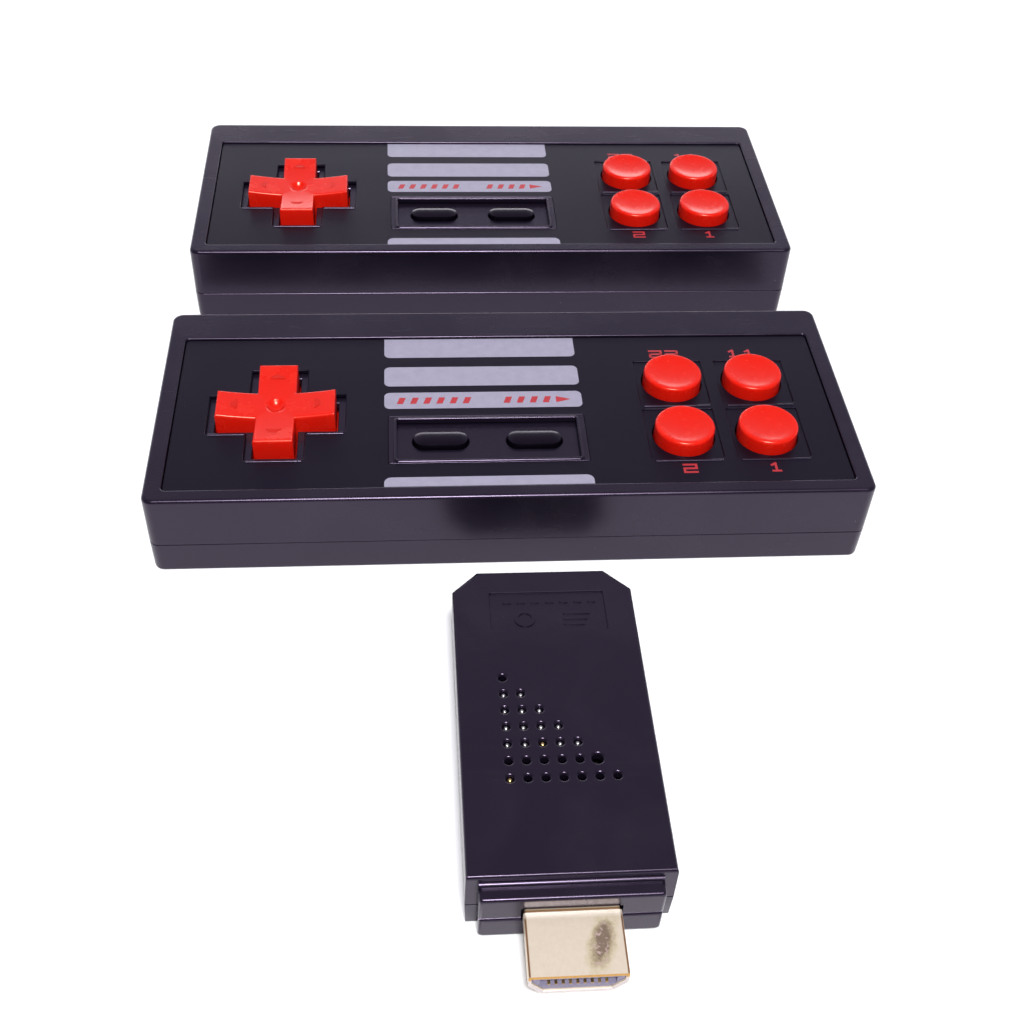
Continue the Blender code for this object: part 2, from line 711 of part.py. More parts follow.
def hdmi_shell():
    """The plug's folded metal sleeve, open at both ends."""
    outer = [(x, z + PLUG_MIDDLE) for x, z in plug_outline(0)]
    inner = [(x, z + PLUG_MIDDLE) for x, z in plug_outline(-PLUG_SHEET)]
    back = NEAR_FACE + PLUG_BACK
    sleeve = prism_along_y("hdmi_shell", outer, PLUG_TIP, back)
    return cut(sleeve, prism_along_y("bore", inner, PLUG_TIP - 1, back + 1))


def hdmi_insulator():
    """The plug's moulded core, with the slot that takes the socket's tongue."""
    outline = [(x, z + PLUG_MIDDLE) for x, z in plug_outline(-PLUG_SHEET - GAP)]
    core = prism_along_y("hdmi_insulator", outline, PLUG_TIP + 0.8, NEAR_FACE + PLUG_BACK)
    slot = [(x, z + PLUG_MIDDLE + 0.15) for x, z in rectangle(-5.2, 5.2, -0.7, 0.7)]
    return cut(core, prism_along_y("slot", slot, PLUG_TIP - 1, PLUG_TIP + 7.5))


def usb_power_socket():
    """The micro power inlet's metal box, with its mouth in the far wall."""
    width, depth, height = USB_SIZE
    far = STICK_LENGTH / 2 - 0.5
    low = MAIN_BOARD[1] + GAP
    sheet = 0.35
    half = width / 2
    box = prism("usb_power_socket", rectangle(-half, half, far - depth, far), low, low + height)
    mouth = prism("mouth", rectangle(-half + sheet, half - sheet, far - depth + 0.8, far + 1),
                  low + sheet, low + height - sheet)
    return cut(box, mouth)


def chip(name):
    """A square-edged component standing on the board."""
    (x, y), (width, depth, height) = CHIPS[name]
    low = MAIN_BOARD[1] + GAP
    return prism(name, rectangle(x - width / 2, x + width / 2, y - depth / 2, y + depth / 2),
                 low, low + height)


def build_stick(finishes):
    holder = holder_at("console", STICK_X, -TOTAL_DEPTH / 2 - PLUG_TIP)
    pieces = [
        ("console_upper_shell", upper_shell(), "case"),
        ("console_lower_shell", lower_shell(), "case"),
        ("console_main_board", main_board(), "board"),
        ("console_hdmi_shell", hdmi_shell(), "gilt"),
        ("console_hdmi_insulator", hdmi_insulator(), "insulator"),
        ("console_usb_power_socket", usb_power_socket(), "steel"),
    ]
    pieces += [(f"console_{name}", chip(name), "chip") for name in CHIPS]
    for name, obj, finish in pieces:
        place(name, take_mesh(obj), holder, finishes[finish])


def build():
    for obj in list(bpy.data.objects):
        bpy.data.objects.remove(obj)
    finishes = make_materials()
    build_controllers(finishes)
    build_stick(finishes)
    bpy.context.view_layer.update()


build()
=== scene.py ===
"""Looks of a plug-in game console stick and its two wireless controllers.

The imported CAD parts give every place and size.  This script builds the fine surfaces round them:
case halves, face plates, keys, prints and the plug, each with its own procedural material.
Shapes are drawn in millimetres in the frame of their own device, whose origin is the centre of
its footprint on the table, and are set down where the CAD parts lie.
"""

import math

import bmesh
import bpy
from mathutils import Matrix, Vector


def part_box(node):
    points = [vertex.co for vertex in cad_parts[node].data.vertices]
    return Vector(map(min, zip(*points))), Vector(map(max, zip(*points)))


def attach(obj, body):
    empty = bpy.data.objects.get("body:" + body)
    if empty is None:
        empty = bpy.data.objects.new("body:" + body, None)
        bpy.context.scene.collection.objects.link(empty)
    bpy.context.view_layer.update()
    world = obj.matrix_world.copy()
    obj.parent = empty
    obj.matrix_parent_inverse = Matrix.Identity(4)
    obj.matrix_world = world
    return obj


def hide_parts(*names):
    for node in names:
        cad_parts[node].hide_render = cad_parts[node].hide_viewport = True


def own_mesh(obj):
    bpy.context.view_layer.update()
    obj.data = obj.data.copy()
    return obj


MM = 0.001
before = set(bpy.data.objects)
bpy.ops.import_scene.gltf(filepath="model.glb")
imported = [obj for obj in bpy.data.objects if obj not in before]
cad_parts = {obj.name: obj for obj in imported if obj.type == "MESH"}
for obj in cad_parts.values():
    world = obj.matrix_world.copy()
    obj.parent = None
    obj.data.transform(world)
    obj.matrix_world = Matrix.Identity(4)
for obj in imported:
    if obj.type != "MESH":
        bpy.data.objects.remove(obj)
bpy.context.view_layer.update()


# ---------------- where the CAD parts are
def box_mm(node, origin=(0.0, 0.0)):
    """A CAD node's corners in millimetres, seen from a device's own origin."""
    low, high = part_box(node)
    shift = Vector((origin[0], origin[1], 0.0))
    return Vector(low) / MM - shift, Vector(high) / MM - shift


def middle_mm(node, origin=(0.0, 0.0)):
    low, high = box_mm(node, origin)
    return (low + high) / 2


CONTROLLERS = ("controller_1", "controller_2")
ORIGIN = {name: middle_mm(f"{name}_top_shell") for name in CONTROLLERS}
PAD = ORIGIN["controller_1"]


def pad_box(node):
    """A box on controller 1, from whose nodes both controllers are drawn."""
    return box_mm(f"controller_1_{node}", PAD)


def pad_middle(node):
    return middle_mm(f"controller_1_{node}", PAD)


CASE_LOW, CASE_HIGH = pad_box("top_shell")
BASE_HIGH = pad_box("bottom_shell")[1]
PANEL_LOW, PANEL_HIGH = pad_box("face_panel")
DOOR_LOW, DOOR_HIGH = pad_box("battery_door")
BUTTON_AT = {name: pad_middle(name) for name in (
    "button_rear_left", "button_rear_right", "button_front_left", "button_front_right")}
PILL_AT = {name: pad_middle(name) for name in ("select_button", "start_button")}
KEY_LOW, KEY_HIGH = pad_box("button_rear_left")
PILL_LOW, PILL_HIGH = pad_box("select_button")
CROSS_LOW, CROSS_HIGH = pad_box("dpad")
CROSS_AT = (CROSS_LOW + CROSS_HIGH) / 2
SCREWS = [pad_middle(f"screw_{i + 1}") for i in range(4)]
UPPER_LOW, UPPER_HIGH = box_mm("console_upper_shell")
LOWER_LOW, LOWER_HIGH = box_mm("console_lower_shell")
PLUG_LOW, PLUG_HIGH = box_mm("console_hdmi_shell")

# controller details, in millimetres
GAP = 0.3
SEAM = 0.10
HAIR = 0.06
KEY_PLAY = 0.3
CROSS_PLAY = 0.4
PANEL_PLAY = 0.15
PLAN_CORNER = 1.9
WALL = 1.8
CEILING = 14.2
PANEL_SEAT = PANEL_LOW.z - GAP
WELL_FLOOR = 16.35
WELL_CORNER = 0.5
WELLS = [(left, right, near, far) for left, right in ((25.2, 38.4), (41.0, 54.4))
         for near, far in ((-17.4, -3.6), (-2.25, 10.7))]
BEZEL = (-22.2, 14.0, -17.6, -4.75)
WINDOW = (-20.6, 12.4, -16.7, -5.95)
BEZEL_CORNER = 0.35
BUTTON_RADIUS = 5.5
PILL_SIZE = (9.7, 3.8)
CROSS_SPAN = 21.5
CROSS_ARM = 7.1
CROSS_RIM = 0.45
DIMPLE_RADIUS = 1.75
DIMPLE_BOWL = 2.1
CROSS_RECESS = (25.0, 10.5)
BAY = (DOOR_LOW.x - GAP, DOOR_HIGH.x + GAP, DOOR_LOW.y - GAP, DOOR_HIGH.y + GAP)
BAY_CEILING = 12.6
BORE_RADIUS = 1.25
BOSS_RADIUS = 2.8
POST_RADIUS = 3.0
SCREW_SINK = (2.3, 3.2)
STRIPE_X = (-22.9, 14.1)

# console stick details, in millimetres
STICK_WIDTH = LOWER_HIGH.x - LOWER_LOW.x
STICK_FAR = LOWER_HIGH.y
STICK_LENGTH = 57.5
STICK_X = (LOWER_LOW.x + LOWER_HIGH.x) / 2
STICK_Y = STICK_FAR - STICK_LENGTH / 2
STICK_CHAMFER = 4.2
NECK_WIDTH = 26.4
NECK_FRONT = LOWER_LOW.y - STICK_Y
NECK_Z = (0.6, 10.4)
SLEEVE_STEP = NECK_FRONT - 0.25
PLUG_SLOT = (-5.3, 5.3, -0.75, 0.95)
LABEL = (-8.9, 10.1, 15.45, 23.95)
LABEL_DEPTH = 0.35
VENT_START = (-7.75, 6.15)
VENT_PITCH = (2.667, 3.12)
VENT_ROWS = 7
VENT_RADIUS = 0.56
WIDE_VENT_RADIUS = 0.84
PIP_RADIUS = 0.42


# ---------------- outlines
def arc(centre, radius, start, end, steps):
    points = []
    for i in range(steps + 1):
        angle = math.radians(start + (end - start) * i / steps)
        points.append((centre[0] + radius * math.cos(angle), centre[1] + radius * math.sin(angle)))
    return points


def rectangle(x0, x1, y0, y1):
    return [(x0, y0), (x1, y0), (x1, y1), (x0, y1)]


def rounded_box(x0, x1, y0, y1, radius, steps=6, far=None):
    """A rectangle with rounded corners; those on the far side can have another radius."""
    far = radius if far is None else far
    return (
        arc((x1 - radius, y0 + radius), radius, -90, 0, steps)
        + arc((x1 - far, y1 - far), far, 0, 90, steps)
        + arc((x0 + far, y1 - far), far, 90, 180, steps)
        + arc((x0 + radius, y0 + radius), radius, 180, 270, steps)
    )


def grown_box(box, grow, radius, steps=6):
    x0, x1, y0, y1 = box
    return rounded_box(x0 - grow, x1 + grow, y0 - grow, y1 + grow, max(radius + grow, 0.02), steps)


def circle(centre, radius, steps):
    return arc(centre, radius, 0, 360 - 360 / steps, steps - 1)


def stadium(centre, length, width, steps=12):
    half = (length - width) / 2
    right = arc((centre[0] + half, centre[1]), width / 2, -90, 90, steps)
    left = arc((centre[0] - half, centre[1]), width / 2, 90, 270, steps)
    return right + left


def cross(centre, span, arm):
    s = span / 2
    a = arm / 2
    points = [(a, -s), (a, -a), (s, -a), (s, a), (a, a), (a, s),
              (-a, s), (-a, a), (-s, a), (-s, -a), (-a, -a), (-a, -s)]
    return [(centre[0] + x, centre[1] + y) for x, y in points]


def stick_outline(inset, chamfer=STICK_CHAMFER):
    x = STICK_WIDTH / 2 - inset
    y = STICK_LENGTH / 2 - inset
    return [(-x, -y), (x, -y), (x, y - chamfer), (x - chamfer, y), (-x + chamfer, y), (-x, y - chamfer)]


# ---------------- solids
def finish_mesh(name, bm, smooth=35):
    """A bmesh in millimetres becomes an object whose mesh is in metres."""
    bmesh.ops.recalc_face_normals(bm, faces=bm.faces)
    bmesh.ops.scale(bm, vec=Vector((MM, MM, MM)), verts=bm.verts)
    mesh = bpy.data.meshes.new(name)
    bm.to_mesh(mesh)
    bm.free()
    obj = bpy.data.objects.new(name, mesh)
    bpy.context.scene.collection.objects.link(obj)
    if smooth:
        mesh.shade_smooth()
        mesh.set_sharp_from_angle(angle=math.radians(smooth))
    return obj


def loft(name, rings, smooth=35):
    """A closed solid through rings of equally many points."""
    bm = bmesh.new()
    rows = [[bm.verts.new(point) for point in ring] for ring in rings]
    for low, high in zip(rows, rows[1:]):
        for i in range(len(low)):
            j = (i + 1) % len(low)
            bm.faces.new((low[i], low[j], high[j], high[i]))
    bm.faces.new(list(reversed(rows[0])))
    bm.faces.new(rows[-1])
    return finish_mesh(name, bm, smooth)


def stack(name, levels, outline, smooth=35):
    """A solid from (inset, height) levels of one outline function of the inset."""
    return loft(name, [[(x, y, z) for x, y in outline(inset)] for inset, z in levels], smooth)


def prism(name, outline, low, high, smooth=35):
    return loft(name, [[(x, y, z) for x, y in outline] for z in (low, high)], smooth)


def flared(name, outline, low, top, soft, steps=1):
    """A cutter that opens out by soft just below top, so that it leaves a rounded edge."""
    return stack(name, [(0.0, low)] + quarter(0.0, top, soft, steps) + [(soft, top + 1.0)], outline)


def turned(name, profile, centre=(0.0, 0.0), segments=48, smooth=40):
    """A solid of revolution about a vertical axis; the profile's ends lie on the axis."""
    bm = bmesh.new()
    rows = []
    for radius, z in profile:
        if radius == 0:
            rows.append([bm.verts.new((centre[0], centre[1], z))])
        else:
            rows.append([bm.verts.new((x, y, z)) for x, y in circle(centre, radius, segments)])
    for low, high in zip(rows, rows[1:]):
        for i in range(segments):
            j = (i + 1) % segments
            corners = [low[i % len(low)], low[j % len(low)], high[j % len(high)], high[i % len(high)]]
            bm.faces.new(list(dict.fromkeys(corners)))
    return finish_mesh(name, bm, smooth)


def apply_modifiers(obj):
    """Make the modified shape the object's own mesh."""
    bpy.context.view_layer.update()
    evaluated = obj.evaluated_get(bpy.context.evaluated_depsgraph_get())
    mesh = bpy.data.meshes.new_from_object(evaluated)
    obj.modifiers.clear()
    obj.data = mesh


def combine(target, tools, operation, smooth=35):
    for tool in tools:
        modifier = target.modifiers.new("shape", "BOOLEAN")
        modifier.operation = operation
        modifier.solver = "EXACT"
        modifier.object = tool
        apply_modifiers(target)
        bpy.data.objects.remove(tool)
    target.data.shade_smooth()
    target.data.set_sharp_from_angle(angle=math.radians(smooth))
    return target


def cut(target, *tools):
    return combine(target, tools, "DIFFERENCE")


def join(target, *tools):
    return combine(target, tools, "UNION")


def level_normals(obj):
    """Keep flat faces flat in the shading, so that only the rounded edges turn the light."""
    modifier = obj.modifiers.new("normals", "WEIGHTED_NORMAL")
    modifier.weight = 100
    modifier.keep_sharp = True
    apply_modifiers(obj)
    return obj


def quarter(inset, height, radius, steps):
    """(inset, height) levels of a rounded edge that ends flat at its top."""
    levels = []
    for i in range(steps + 1):
        angle = math.pi / 2 * i / steps
        levels.append((inset + radius * (1 - math.cos(angle)), height - radius * (1 - math.sin(angle))))
    return levels


# ---------------- materials
VIOLET = (0.84, 0.66, 1.0)
COAT_ROUGHNESS = 0.12


def wire(tree, node, inputs):
    """Fill a node's inputs by name or number; an output given as a value is linked."""
    for key, value in inputs.items():
        if isinstance(value, bpy.types.NodeSocket):
            tree.links.new(value, node.inputs[key])
        else:
            node.inputs[key].default_value = value
    return node


def add_node(tree, kind, inputs=None, **settings):
    made = tree.nodes.new(kind)
    for key, value in settings.items():
        setattr(made, key, value)
    return wire(tree, made, inputs or {})


class Shading:
    """A Principled material with the few node steps that every finish here is made of."""

    def __init__(self, name, color, roughness, metallic=0.0, coat=0.0, specular=0.5, tinge=(1, 1, 1)):
        self.material = bpy.data.materials.new(name)
        self.material.use_nodes = True
        self.tree = self.material.node_tree
        self.shader = self.tree.nodes["Principled BSDF"]
        self.set_shader({
            "Base Color": (*color, 1.0), "Roughness": roughness, "Metallic": metallic,
            "Coat Weight": coat, "Coat Roughness": COAT_ROUGHNESS,
            "Specular IOR Level": specular, "Specular Tint": (*tinge, 1.0),
        })
        self.color = self.constant("ShaderNodeRGB", (*color, 1.0))
        self.roughness = self.constant("ShaderNodeValue", roughness)
        self.height = None
        self.place = self.node("ShaderNodeTexCoord").outputs["Object"]

    def set_shader(self, inputs):
        wire(self.tree, self.shader, inputs)

    def node(self, kind, inputs=None, **settings):
        return add_node(self.tree, kind, inputs, **settings)

    def constant(self, kind, value):
        made = self.node(kind)
        made.outputs[0].default_value = value
        return made.outputs[0]

    def math(self, operation, a, b=0.0, clamp=False):
        return self.node("ShaderNodeMath", {0: a, 1: b}, operation=operation, use_clamp=clamp).outputs[0]

    def times(self, a, b):
        return self.math("MULTIPLY", a, b)

    def stretched(self, scale, vector=None):
        """Object coordinates, or another vector, stretched by a factor along each axis."""
        made = self.node("ShaderNodeMapping", {"Vector": vector or self.place, "Scale": scale})
        return made.outputs["Vector"]

    def noise(self, scale, detail=2.0, rough=0.5, vector=None, distortion=0.0):
        return self.node("ShaderNodeTexNoise", {
            "Vector": vector or self.place, "Scale": scale, "Detail": detail, "Roughness": rough,
            "Distortion": distortion,
        }).outputs["Fac"]

    def cells(self, scale, vector=None, distance="EUCLIDEAN"):
        """Distance from the middles of scattered cells."""
        made = self.node("ShaderNodeTexVoronoi", {"Vector": vector or self.place, "Scale": scale},
                         distance=distance)
        return made.outputs["Distance"]

    def ramp(self, value, low, high):
        """Value between low and high becomes 0 to 1, held flat outside."""
        made = self.node("ShaderNodeMapRange", {"Value": value, "From Min": low, "From Max": high})
        return made.outputs["Result"]

    def between(self, value, start, full, fade, end):
        """1 from full to fade, easing to 0 at start and end."""
        return self.times(self.ramp(value, start, full), self.ramp(value, end, fade))

    def tint(self, mask, color, amount=1.0):
        """Blend the colour towards another where the mask is high."""
        self.color = self.node("ShaderNodeMix", {
            "Factor": self.times(mask, amount), "A": self.color, "B": (*color, 1.0),
        }, data_type="RGBA").outputs["Result"]

    def roughen(self, mask, amount):
        self.roughness = self.math("ADD", self.roughness, self.times(mask, amount), clamp=True)

    def wear(self, scale, amount, low, high, detail=3.0, rough=0.6):
        """Roughen in soft patches."""
        self.roughen(self.ramp(self.noise(scale, detail, rough), low, high), amount)

    def raise_by(self, mask, amount):
        """Add to the bump height, in metres."""
        step = self.times(mask, amount)
        self.height = step if self.height is None else self.math("ADD", self.height, step)

    def grain(self, scale, amount, detail=2.0, rough=0.6):
        self.raise_by(self.noise(scale, detail, rough), amount)

    def speckle(self, spacing, edge, patches, spread, color, amount=1.0):
        """Small specks of another colour, in scattered patches."""
        specks = self.ramp(self.cells(spacing), *edge)
        rare = self.ramp(self.noise(patches, 1.0), *spread)
        self.tint(self.times(specks, rare), color, amount)

    def done(self):
        self.set_shader({"Base Color": self.color, "Roughness": self.roughness})
        if self.height is not None:
            bump = self.node("ShaderNodeBump", {"Strength": 1.0, "Distance": 1.0, "Height": self.height})
            self.set_shader({"Normal": bump.outputs["Normal"]})
        return self.material


def add_dust(look, amount=1.0):
    """Sparse pale specks, and dull streaks where hands have rubbed."""
    look.speckle(420.0, (0.045, 0.02), 95.0, (0.63, 0.66), (0.35, 0.34, 0.36), 0.55 * amount)
    streaks = look.noise(1.0, vector=look.stretched((90.0, 900.0, 300.0)))
    look.roughen(look.ramp(streaks, 0.60, 0.75), 0.06 * amount)


def case_material():
    look = Shading("case_black", (0.0060, 0.0042, 0.0095), 0.24, tinge=VIOLET)
    look.grain(3800.0, 0.0000035)
    look.grain(140.0, 0.000006, 1.0, 0.5)
    smudge = look.ramp(look.noise(46.0, 3.0, 0.6, distortion=0.6), 0.46, 0.70)
    look.roughen(smudge, 0.05)
    look.tint(smudge, (0.022, 0.018, 0.028), 0.2)
    add_dust(look)
    return look.done()


def panel_material():
    look = Shading("panel_black", (0.0038, 0.0031, 0.0072), 0.30, specular=0.24, tinge=VIOLET)
    look.grain(5200.0, 0.0000022, rough=0.7)
    look.wear(60.0, 0.05, 0.45, 0.7)
    add_dust(look, 1.3)
    return look.done()


def red_material():
    look = Shading("key_red", (0.66, 0.009, 0.003), 0.25, specular=0.34, tinge=(1.0, 0.95, 0.72))
    look.set_shader({"Subsurface Weight": 0.5, "Subsurface Radius": (1.0, 0.12, 0.06),
                     "Subsurface Scale": 0.0022})
    look.grain(2600.0, 0.0000014)
    look.grain(260.0, 0.000005, 1.0, 0.5)
    worn = look.ramp(look.noise(170.0, 3.0, 0.65), 0.52, 0.72)
    look.roughen(worn, 0.14)
    look.tint(worn, (0.78, 0.026, 0.008), 0.25)
    look.speckle(900.0, (0.05, 0.02), 210.0, (0.64, 0.67), (0.85, 0.45, 0.38), 0.5)
    return look.done()


def plain_material(name, color, roughness, grain, wear, **more):
    """A plain finish, with its fine grain and its duller patches."""
    look = Shading(name, color, roughness, **more)
    look.grain(*grain)
    look.wear(*wear)
    return look.done()


def metal_material(name, color, roughness):
    return plain_material(name, color, roughness, (2200.0, 0.000002), (700.0, 0.15, 0.4, 0.7), metallic=1.0)


def print_material(name, color):
    """Screen-printed ink: slightly uneven cover, a little rough, with pinholes."""
    look = Shading(name, color, 0.42)
    uneven = look.ramp(look.noise(520.0, 3.0, 0.6), 0.35, 0.75)
    look.tint(uneven, [0.88 * value for value in color])
    look.speckle(1500.0, (0.05, 0.03), 330.0, (0.62, 0.66), (0.03, 0.03, 0.04))
    look.grain(2600.0, 0.000003)
    return look.done()


def gilt_material():
    """Pale gilt plating: brushed along the plug, browner at its folds, with a burnt stain."""
    look = Shading("plug_gilt", (0.76, 0.66, 0.53), 0.36, metallic=0.45, tinge=(1.0, 0.95, 0.85))
    brushed = look.noise(1.0, 3.0, 0.6, look.stretched((2200.0, 900.0, 2200.0)))
    look.roughen(look.ramp(brushed, 0.35, 0.7), 0.10)
    look.raise_by(brushed, 0.0000020)
    look.tint(look.ramp(look.noise(1300.0, 4.0, 0.7), 0.42, 0.68), (0.70, 0.59, 0.47), 0.5)

    # the stain: a ragged oval on the top, a little turned, with a yellow-brown halo
    centre = Vector((3.6, (PLUG_LOW.y - STICK_Y + NECK_FRONT) / 2 - 0.3, PLUG_HIGH.z)) * MM
    away = look.node("ShaderNodeVectorMath", {0: look.place, 1: centre}, operation="SUBTRACT").outputs[0]
    tilted = look.node("ShaderNodeVectorRotate", {"Vector": away, "Angle": math.radians(16)},
                       rotation_type="Z_AXIS").outputs[0]
    oval = look.stretched((1 / 0.0018, 1 / 0.0042, 1 / 0.0022), tilted)
    reach = look.node("ShaderNodeVectorMath", {0: oval}, operation="LENGTH").outputs["Value"]
    ragged = look.math("ADD", reach, look.times(look.noise(620.0, 4.0, 0.7), 1.2))
    look.tint(look.ramp(ragged, 1.9, 1.2), (0.50, 0.42, 0.18), 0.75)
    core = look.ramp(ragged, 1.62, 1.05)
    look.tint(core, (0.17, 0.115, 0.095), 0.9)
    pale = look.times(core, look.ramp(look.noise(900.0, 3.0, 0.7), 0.52, 0.62))
    look.tint(pale, (0.62, 0.46, 0.44), 0.7)
    look.roughen(core, 0.22)
    look.raise_by(look.times(core, look.noise(1500.0, 3.0, 0.7)), 0.00003)

    # the folds along both sides, a painted highlight in front of the step near the collar, painted shade over
    # the collar behind the step, the line at the step and the lip of the mouth
    split = look.node("ShaderNodeSeparateXYZ", {0: look.place}).outputs
    side = look.math("ABSOLUTE", split["X"])
    half = (PLUG_HIGH.x - PLUG_LOW.x) / 2 * MM
    fold = look.between(side, half - 0.00040, half - 0.00028, half - 0.00012, half - 0.00002)
    look.tint(fold, (0.20, 0.085, 0.025), 0.95)
    step = SLEEVE_STEP * MM
    # painted highlight: a cream band on the sleeve just in front of the step
    painted_highlight_band = look.between(split["Y"], step - 0.00130, step - 0.00060, step - 0.00012, step - 0.00002)
    look.tint(painted_highlight_band, (0.92, 0.84, 0.72), 0.7)
    # painted shade: the collar behind the step is darkened as if shaded by the neck
    look.tint(look.ramp(split["Y"], step + 0.00004, step + 0.00012), (0.40, 0.31, 0.22), 0.75)
    seam = look.between(split["Y"], step - 0.00006, step + 0.00004, step + 0.00024, step + 0.00034)
    look.tint(seam, (0.26, 0.12, 0.035), 0.9)
    tip = (PLUG_LOW.y - STICK_Y) * MM
    lip = look.ramp(split["Y"], tip + 0.00022, tip + 0.00010)
    look.tint(lip, (0.62, 0.56, 0.56))
    upper = look.ramp(split["Z"], (PLUG_HIGH.z - 1.0) * MM, (PLUG_HIGH.z - 0.6) * MM)
    look.tint(look.times(lip, upper), (0.55, 0.30, 0.08))
    return look.done()


def board_material():
    look = Shading("board_green", (0.012, 0.105, 0.040), 0.32, coat=0.3)
    traces = look.cells(330.0, look.stretched((1.0, 1.0, 0.2)), "CHEBYCHEV")
    edge = look.ramp(traces, 0.34, 0.38)
    look.tint(edge, (0.03, 0.22, 0.085), 0.5)
    look.raise_by(edge, 0.00002)
    look.roughen(look.noise(240.0), 0.12)
    return look.done()


def rubber_material():
    look = Shading("membrane_rubber", (0.30, 0.31, 0.33), 0.68)
    look.grain(2800.0, 0.000004, 3.0, 0.7)
    look.tint(look.ramp(look.noise(300.0, 3.0, 0.6), 0.45, 0.8), (0.24, 0.25, 0.27))
    return look.done()


LOOK = {
    "case": case_material(),
    "panel": panel_material(),
    "red": red_material(),
    "pill": plain_material("pill_black", (0.0030, 0.0022, 0.0045), 0.17, (2400.0, 0.000002),
                           (420.0, 0.12, 0.45, 0.75), specular=0.32, tinge=VIOLET),
    "stripe": print_material("stripe_grey", (0.300, 0.282, 0.372)),
    "legend": print_material("legend_red", (0.40, 0.022, 0.030)),
    "gilt": gilt_material(),
    "contact": metal_material("contact_gold", (0.72, 0.52, 0.22), 0.25),
    "steel": metal_material("spring_steel", (0.60, 0.60, 0.59), 0.28),
    "board": board_material(),
    "rubber": rubber_material(),
    "chip": plain_material("chip_black", (0.016, 0.016, 0.018), 0.55, (5200.0, 0.000004, 3.0, 0.7),
                           (500.0, 0.15, 0.4, 0.7, 2.0, 0.5)),
    "cell": plain_material("cell_jacket", (0.03, 0.16, 0.085), 0.30, (420.0, 0.00001, 2.0, 0.5),
                           (300.0, 0.12, 0.45, 0.75), coat=0.4),
    "insulator": plain_material("plug_insulator", (0.20, 0.18, 0.27), 0.45, (3600.0, 0.000003),
                                (600.0, 0.15, 0.4, 0.7, 2.0, 0.5)),
}


# ---------------- putting pieces in place
def install(name, mesh, look, body, position, replaces=None):
    """Set down one piece at a place in millimetres, on its body."""
    obj = bpy.data.objects.new(name, mesh)
    bpy.context.scene.collection.objects.link(obj)
    obj.location = Vector(position) * MM
    if not mesh.materials:
        mesh.materials.append(LOOK[look])
    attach(obj, body)
    if replaces:
        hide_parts(*replaces)
    return obj


def take_mesh(obj):
    mesh = obj.data
    bpy.data.objects.remove(obj)
    return mesh


# ---------------- controller shapes
def case_outline(inset):
    x = CASE_HIGH.x - inset
    y = CASE_HIGH.y - inset
    return rounded_box(-x, x, -y, y, PLAN_CORNER - 0.5 * inset, 10)


def cavity(low, high):
    x = CASE_HIGH.x - WALL
    y = CASE_HIGH.y - WALL
    return prism("cavity", rounded_box(-x, x, -y, y, 1.2, 4), low, high)


def key_hole(at, grow):
    return circle(at.xy, BUTTON_RADIUS + KEY_PLAY + grow, 48)


def case_top():
    """The upper half: soft rim, sunk seat for the face plate, and the key holes."""
    low, high = CASE_LOW.z, CASE_HIGH.z
    levels = [(HAIR, low), (0.0, low + HAIR)] + quarter(0.0, high, 0.70, 6)
    shell = stack("case_top", levels, case_outline)
    seat = (PANEL_LOW.x - PANEL_PLAY, PANEL_HIGH.x + PANEL_PLAY,
            PANEL_LOW.y - PANEL_PLAY, PANEL_HIGH.y + PANEL_PLAY)
    cut(shell, cavity(low - 1, CEILING),
        flared("seat", lambda g: grown_box(seat, g, 0.8), PANEL_SEAT, high, 0.34, 4))
    for at in SCREWS:
        join(shell, prism("boss", circle(at.xy, BOSS_RADIUS, 24), 6.5, CEILING + 0.5))
        cut(shell, prism("bore", circle(at.xy, BORE_RADIUS, 20), 6.0, 11.8))

    def hole(outline, edge):
        cut(shell, flared("hole", outline, CEILING - 1, PANEL_SEAT, edge))

    for at in BUTTON_AT.values():
        hole(lambda g: key_hole(at, g), 0.25)
    for at in PILL_AT.values():
        hole(lambda g: stadium(at.xy, *(size + 2 * (KEY_PLAY + g) for size in PILL_SIZE)), 0.15)
    hole(lambda g: cross(CROSS_AT.xy, *(size + 2 * (CROSS_PLAY + g) for size in (CROSS_SPAN, CROSS_ARM))),
         0.12)
    return shell


def case_bottom():
    """The lower half: tapered skirt, screw posts, and the battery bay under its roof."""
    high = BASE_HIGH.z
    rim = CASE_LOW.z - SEAM
    levels = [(0.38, 0.0), (0.24, 0.05), (0.15, 0.18), (0.10, 0.45), (0.0, rim - HAIR), (HAIR, rim)]
    shell = stack("case_bottom", levels, case_outline)
    cut(shell, cavity(WALL, rim + 1))
    x0, x1, y0, y1 = BAY
    join(shell, prism("bay", rectangle(x0 - 1, x1 + 1, y0 - 1, y1 + 1), WALL - 0.5, high))
    cut(shell, prism("bay_inside", rectangle(*BAY), 0.4, BAY_CEILING),
        prism("bay_mouth", rectangle(*BAY), -1.0, 1.0))
    for at in SCREWS:
        join(shell, prism("post", circle(at.xy, POST_RADIUS, 24), WALL - 0.5, 6.2))
        cut(shell, prism("bore", circle(at.xy, BORE_RADIUS, 20), 0.5, 7.0),
            prism("sink", circle(at.xy, SCREW_SINK[0], 28), -1.0, SCREW_SINK[1]))
    return shell


